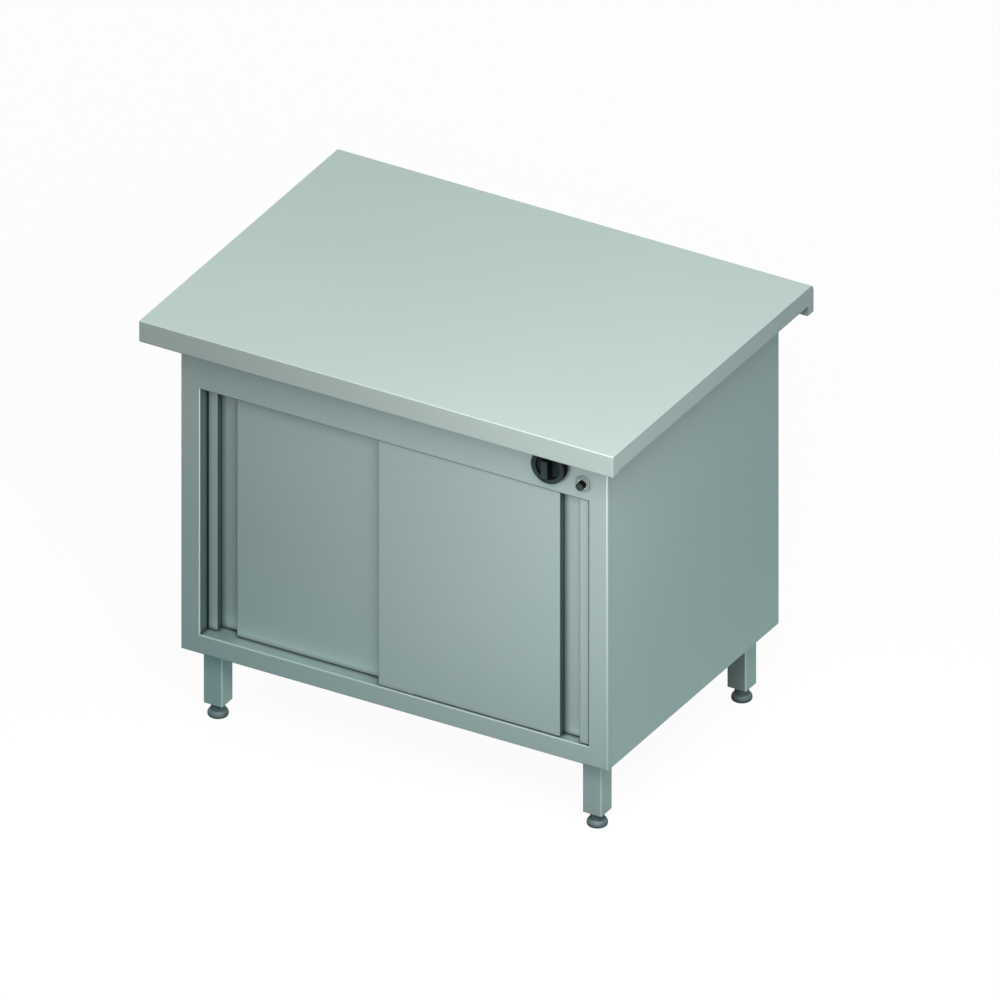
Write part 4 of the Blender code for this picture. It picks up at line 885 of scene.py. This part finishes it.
@dataclass
class Controls:
    """The thermostat knob and the limiter's reset button with its nut."""

    knob_x: float = 0.333
    knob_z: float = 0.766
    button_x: float = 0.399
    button_z: float = 0.742
    rail: float = -0.301
    gap: float = 0.0003
    knob_radius: float = 0.035
    knob_back: float = -0.305
    knob_front: float = -0.318
    knob_edge: float = 0.0011
    dish_radius: float = 0.0249
    dish_depth: float = 0.0048
    dish_draft: float = 0.0004
    cap_radius: float = 0.002
    socket_radius: float = 0.0033
    socket_floor: float = -0.3123
    grip_width: float = 0.0137
    grip_reach: float = 0.0249
    grip_top_reach: float = 0.0183
    grip_front: float = -0.3307
    grip_root: float = -0.3112
    grip_edge: float = 0.0008
    grip_corner: float = 0.002
    button_radius: float = 0.008
    button_tip: float = -0.3155
    button_back: float = -0.2932
    tip_rim: float = 0.001
    tip_dish: float = 0.0006
    tip_edge: float = 0.0004
    nut_half: float = 0.014
    nut_bore: float = 0.0105
    nut_thickness: float = 0.0018
    nut_chamfer: float = 0.0002

    def knob(self) -> None:
        """Makes the knob: a turned disc with a dish in its face, and a grip bar across it.

        The bar's ends slope in evenly, from the dish's edge to the bar's shorter top.
        """
        centre = (self.knob_x, self.knob_z)
        front, back, floor = self.knob_front, self.knob_back, self.knob_front + self.dish_depth
        line = bent(np.array([
            (self.socket_radius, back), (self.knob_radius, back), (self.knob_radius, front),
            (self.dish_radius, front), (self.dish_radius - self.dish_draft, floor),
            (self.cap_radius, floor)]), 0.0, self.knob_edge, EDGE_STEPS)
        socket = np.array([(self.cap_radius, self.socket_floor),
                           (self.socket_radius, self.socket_floor)])
        disc = turned(np.vstack([socket, line]), Axis.Y, centre, LARGE_ROUND)
        turn = np.linspace(0, np.pi / 2, EDGE_STEPS)
        inset = np.concatenate([[0.0], self.grip_edge * (1 - np.cos(turn))])
        station = np.concatenate([
            [self.grip_root], self.grip_front + self.grip_edge * (1 - np.sin(turn))])
        slope = (self.grip_reach - self.grip_top_reach) / (front - self.grip_front)
        reach = self.grip_top_reach + slope * (station - self.grip_front) - inset
        half = self.grip_width / 2 - inset
        loops = [set_square(rounded(centre, size, self.grip_corner), Axis.Y, y)
                 for *size, y in zip(half, reach, station)]
        stand_in("thermostat_knob_cap", "knob", "thermostat_knob", "black_plastic",
                 BLACK_PLASTIC, disc, Patch(np.stack(loops)))

    def button(self) -> None:
        """Makes the button, a turned pin with a dished tip, and the hexagon nut behind it."""
        centre = (self.button_x, self.button_z)
        radius, tip = self.button_radius, self.button_tip
        line = bent(np.array([
            (self.tip_rim, tip + self.tip_dish), (radius - 2 * self.tip_rim, tip + self.tip_dish),
            (radius - self.tip_rim, tip), (radius, tip), (radius, self.button_back)]),
            0.0, self.tip_edge, FINE_STEPS)
        stand_in("limiter_reset_button", "reset_button", "limiter_button", "black_plastic",
                 SMOOTH_PLASTIC, turned(line, Axis.Y, centre, SMALL_ROUND))

        near, far = self.rail - self.gap - self.nut_thickness, self.rail - self.gap
        point = self.nut_half / np.cos(np.pi / 6)
        ring = np.array([
            (self.nut_bore, far), (self.nut_bore, near), (self.nut_half, near),
            (point, near + self.nut_chamfer), (point, far)])
        flats = np.array([0, 0, 0, self.nut_half, self.nut_half])
        stand_in("limiter_hexagon_nut", "limiter_nut", "cabinet", "zinc_plated_steel",
                 DULL_ZINC, turned(ring, Axis.Y, centre, MIDDLE_ROUND, ring=True, flats=flats))

    def build(self) -> None:
        """Makes the knob, the button and the nut."""
        self.knob()
        self.button()


@dataclass
class Gland:
    """The cable gland in the back panel: a hexagon body with a domed nut and an open mouth."""

    x: float = 0.380
    z: float = 0.770
    inner_end: float = 0.3150
    face: float = 0.3255
    hex_end: float = 0.3305
    dome_end: float = 0.3435
    neck: float = 0.008
    half_hex: float = 0.011
    dome: float = 0.0095
    dome_round: float = 0.0025
    lip: float = 0.0022
    mouth: float = 0.0045

    def build(self) -> None:
        """Makes the gland as one ring turned about its bore, cut to a hexagon at the collar."""
        point = self.half_hex / np.cos(np.pi / 6)
        turn = np.linspace(0, np.pi / 2, BEND_STEPS + 1)
        start = self.dome - self.mouth - self.lip
        dome = np.stack([self.mouth + self.lip + start * np.cos(turn),
                         self.dome_end - self.dome_round * (1 - np.sin(turn))], axis=-1)
        profile = np.vstack([
            (self.mouth, self.inner_end), (self.neck, self.inner_end), (self.neck, self.face),
            (point, self.face), (point, self.hex_end), (self.dome, self.hex_end), dome,
            (self.mouth, self.dome_end)])
        flats = np.zeros(len(profile))
        flats[3:5] = self.half_hex
        body = turned(profile, Axis.Y, (self.x, self.z), MIDDLE_ROUND, ring=True,
                      flats=flats, first_flat=np.pi / 6)
        stand_in("supply_cable_gland", "cable_gland", "cabinet", "grey_plastic", GREY_PLASTIC,
                 body)


# Studio

def level_face(name: str, tone: str, low: Pair, high: Pair,
               height: float) -> tuple[bpy.types.Object, Tree]:
    """Lays a level rectangle whose material has nothing at its surface yet.

    Args:
        name: its name.
        tone: the material's name.
        low: its low corner.
        high: its high corner.
        height: how high it lies.

    Returns:
        The object and its material's nodes.
    """
    made = bpy.data.materials.new(tone)
    made.use_nodes = True
    made.node_tree.nodes.remove(made.node_tree.nodes["Principled BSDF"])
    mesh = bpy.data.meshes.new(name)
    (left, front), (right, back) = low, high
    corners = [(left, front), (right, front), (right, back), (left, back)]
    mesh.from_pydata([(*corner, height) for corner in corners], [], [(0, 1, 2, 3)])
    mesh.materials.append(made)
    item = bpy.data.objects.new(name, mesh)
    bpy.context.scene.collection.objects.link(item)
    return item, made.node_tree


@dataclass(frozen=True)
class Softbox:
    """A rectangular lamp: where it stands, what it faces, its size, power and colour."""

    name: str
    place: tuple[float, float, float]
    aim: tuple[float, float, float]
    size: Pair
    power: float
    colour: str

    def build(self) -> None:
        """Adds the lamp, turned to what it faces."""
        lamp = bpy.data.lights.new(self.name, "AREA")
        lamp.shape = "RECTANGLE"
        lamp.size, lamp.size_y = self.size
        lamp.energy = self.power
        lamp.color = linear(self.colour)[:3]
        item = bpy.data.objects.new(self.name, lamp)
        way = Vector(self.aim) - Vector(self.place)
        item.rotation_euler = way.to_track_quat("-Z", "Y").to_euler()
        item.location = self.place
        bpy.context.scene.collection.objects.link(item)


@dataclass(frozen=True)
class Card:
    """A level card that only reflections show, in place of the floor under it."""

    name: str
    low: Pair
    high: Pair
    colour: str
    height: float = 0.001

    def build(self) -> None:
        """Adds the card, a face of even tone that is hidden from all but reflections."""
        item, tree = level_face(self.name, self.name, self.low, self.high, self.height)
        glow = add_node(tree, "Emission", {"Color": linear(self.colour)})
        tree.links.new(glow.outputs["Emission"], tree.nodes["Material Output"].inputs["Surface"])
        item.visible_camera = item.visible_diffuse = item.visible_shadow = False


# Two softboxes to the right of the front: the near one makes the gradient over front and top.
LAMPS = (
    Softbox("near_softbox", (0.9, -1.3, 1.7), (0.2, -0.2, 0.6), (0.8, 0.8), 41.0, "#FFF4F2"),
    Softbox("far_softbox", (1.8, -1.6, 2.6), (0.0, 0.0, 0.6), (1.6, 1.6), 34.0, "#FFF8F6"),
)

# What the steel mirrors: the tones of the floor round the sides and between the legs, and a
# pale flag above the floor for the worktop.
CARDS = (
    Card("front_left_card", (-6.0, -4.5), (-0.35, -0.8), "#000000"),
    Card("back_left_card", (-6.0, -0.8), (-0.35, 4.5), "#2A6C75"),
    Card("middle_card", (-0.35, -0.8), (1.25, 0.6), "#687F84"),
    Card("side_card", (0.45, -0.2), (0.80, 0.6), "#9FB0B3", 0.002),
    Card("under_left_card", (-0.40, -0.25), (-0.20, 0.0), "#AEBBBA", 0.002),
    Card("under_right_card", (-0.15, -0.3), (0.42, 0.28), "#000000", 0.002),
    Card("back_card", (-0.35, 0.6), (1.25, 4.5), "#8DAAAF"),
    Card("back_right_card", (1.25, 0.6), (6.0, 4.5), "#000000"),
    Card("back_left_flag", (-2.0, 0.6), (-0.4, 2.2), "#E0E4E2", 1.5),
)


@dataclass
class Studio:
    """The pale floor, the white surroundings, the soft lamps and the camera."""

    aim_right: float = 0.0431
    aim_up: float = 0.3829
    distance: float = 5.0
    view_width: float = 1.827
    azimuth: float = 30.0
    elevation: float = 30.0
    floor_reach: float = 12.0
    floor_colour: str = "#F4F6F5"
    surround: str = "#E3EAE8"
    white_share: float = 0.95
    ambient: float = 0.75
    clip: float = 50.0

    def camera(self) -> None:
        """Sets the camera square to the view that the photograph has, without perspective."""
        turn, lift = np.radians(self.azimuth), np.radians(self.elevation)
        right = Vector((np.cos(turn), np.sin(turn), 0.0))
        back = Vector((np.sin(turn) * np.cos(lift), -np.cos(turn) * np.cos(lift), np.sin(lift)))
        up = back.cross(right)
        lens = bpy.data.cameras.new("camera")
        lens.type = "ORTHO"
        lens.ortho_scale = self.view_width
        lens.clip_end = self.clip
        item = bpy.data.objects.new("camera", lens)
        place = right * self.aim_right + up * self.aim_up + back * self.distance
        item.matrix_world = (
            Matrix.Translation(place) @ Matrix((right, up, back)).transposed().to_4x4())
        bpy.context.scene.collection.objects.link(item)
        bpy.context.scene.camera = item

    def seen(self, tree: Tree, share: float) -> Node:
        """Adds the share of white for rays that show the surroundings: camera, gloss, glass."""
        path = add_node(tree, "LightPath")
        either = add_node(tree, "Math", {"operation": "ADD"},
                          {0: (path, "Is Camera Ray"), 1: (path, "Is Glossy Ray")})
        any_ray = add_node(tree, "Math", {"operation": "ADD", "use_clamp": True},
                           {0: (either, "Value"), 1: (path, "Is Transmission Ray")})
        return add_node(tree, "Math", {"operation": "MULTIPLY", 1: share}, {0: (any_ray, "Value")})

    def floor(self) -> None:
        """Adds the floor: pale and plain, nearly white to look at, with the table's shadow."""
        reach = self.floor_reach
        item, tree = level_face("studio_floor", "matt_white_floor", (-reach, -reach),
                                (reach, reach), 0.0)
        paint = add_node(tree, "BsdfDiffuse", {"Color": linear(self.floor_colour)})
        white = add_node(tree, "Emission", {"Color": WHITE})
        mix = add_node(tree, "MixShader", {}, {
            0: (self.seen(tree, self.white_share), "Value"),
            1: (paint, "BSDF"), 2: (white, "Emission")})
        tree.links.new(mix.outputs["Shader"], tree.nodes["Material Output"].inputs["Surface"])

    def world(self) -> None:
        """Sets the surroundings: an even soft light, white where they show."""
        made = bpy.data.worlds.new("white_studio")
        made.use_nodes = True
        tree = made.node_tree
        soft = tree.nodes["Background"]
        soft.inputs["Color"].default_value = linear(self.surround)
        soft.inputs["Strength"].default_value = self.ambient
        white = add_node(tree, "Background", {"Color": WHITE, "Strength": 1.0})
        mix = add_node(tree, "MixShader", {}, {
            0: (self.seen(tree, 1.0), "Value"),
            1: (soft, "Background"), 2: (white, "Background")})
        tree.links.new(mix.outputs["Shader"], tree.nodes["World Output"].inputs["Surface"])
        bpy.context.scene.world = made

    def build(self) -> None:
        """Makes the whole studio."""
        bpy.context.scene.view_settings.view_transform = "Standard"
        self.camera()
        self.floor()
        self.world()
        for lamp in LAMPS:
            lamp.build()
        for card in CARDS:
            card.build()


# The front faces of the right and the left door, and the rows of legs.
DOOR_FACES = ((1, -0.296), (-1, -0.273))
LEG_ROWS = (("front", -0.251), ("back", 0.277))


def main() -> None:
    """Builds every sub-assembly in order, dresses what stays and lights it."""
    logging.basicConfig(level=logging.INFO, format="%(name)s: %(message)s")
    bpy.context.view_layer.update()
    Studio().build()
    Worktop().build()
    Casing().build()
    for side, face in DOOR_FACES:
        Door(side, face).build()
    for end, y in LEG_ROWS:
        for side in SIDES:
            Leg(end, side, y).build()
    Controls().build()
    Gland().build()
    dress_nodes()


if __name__ == "__main__":
    main()
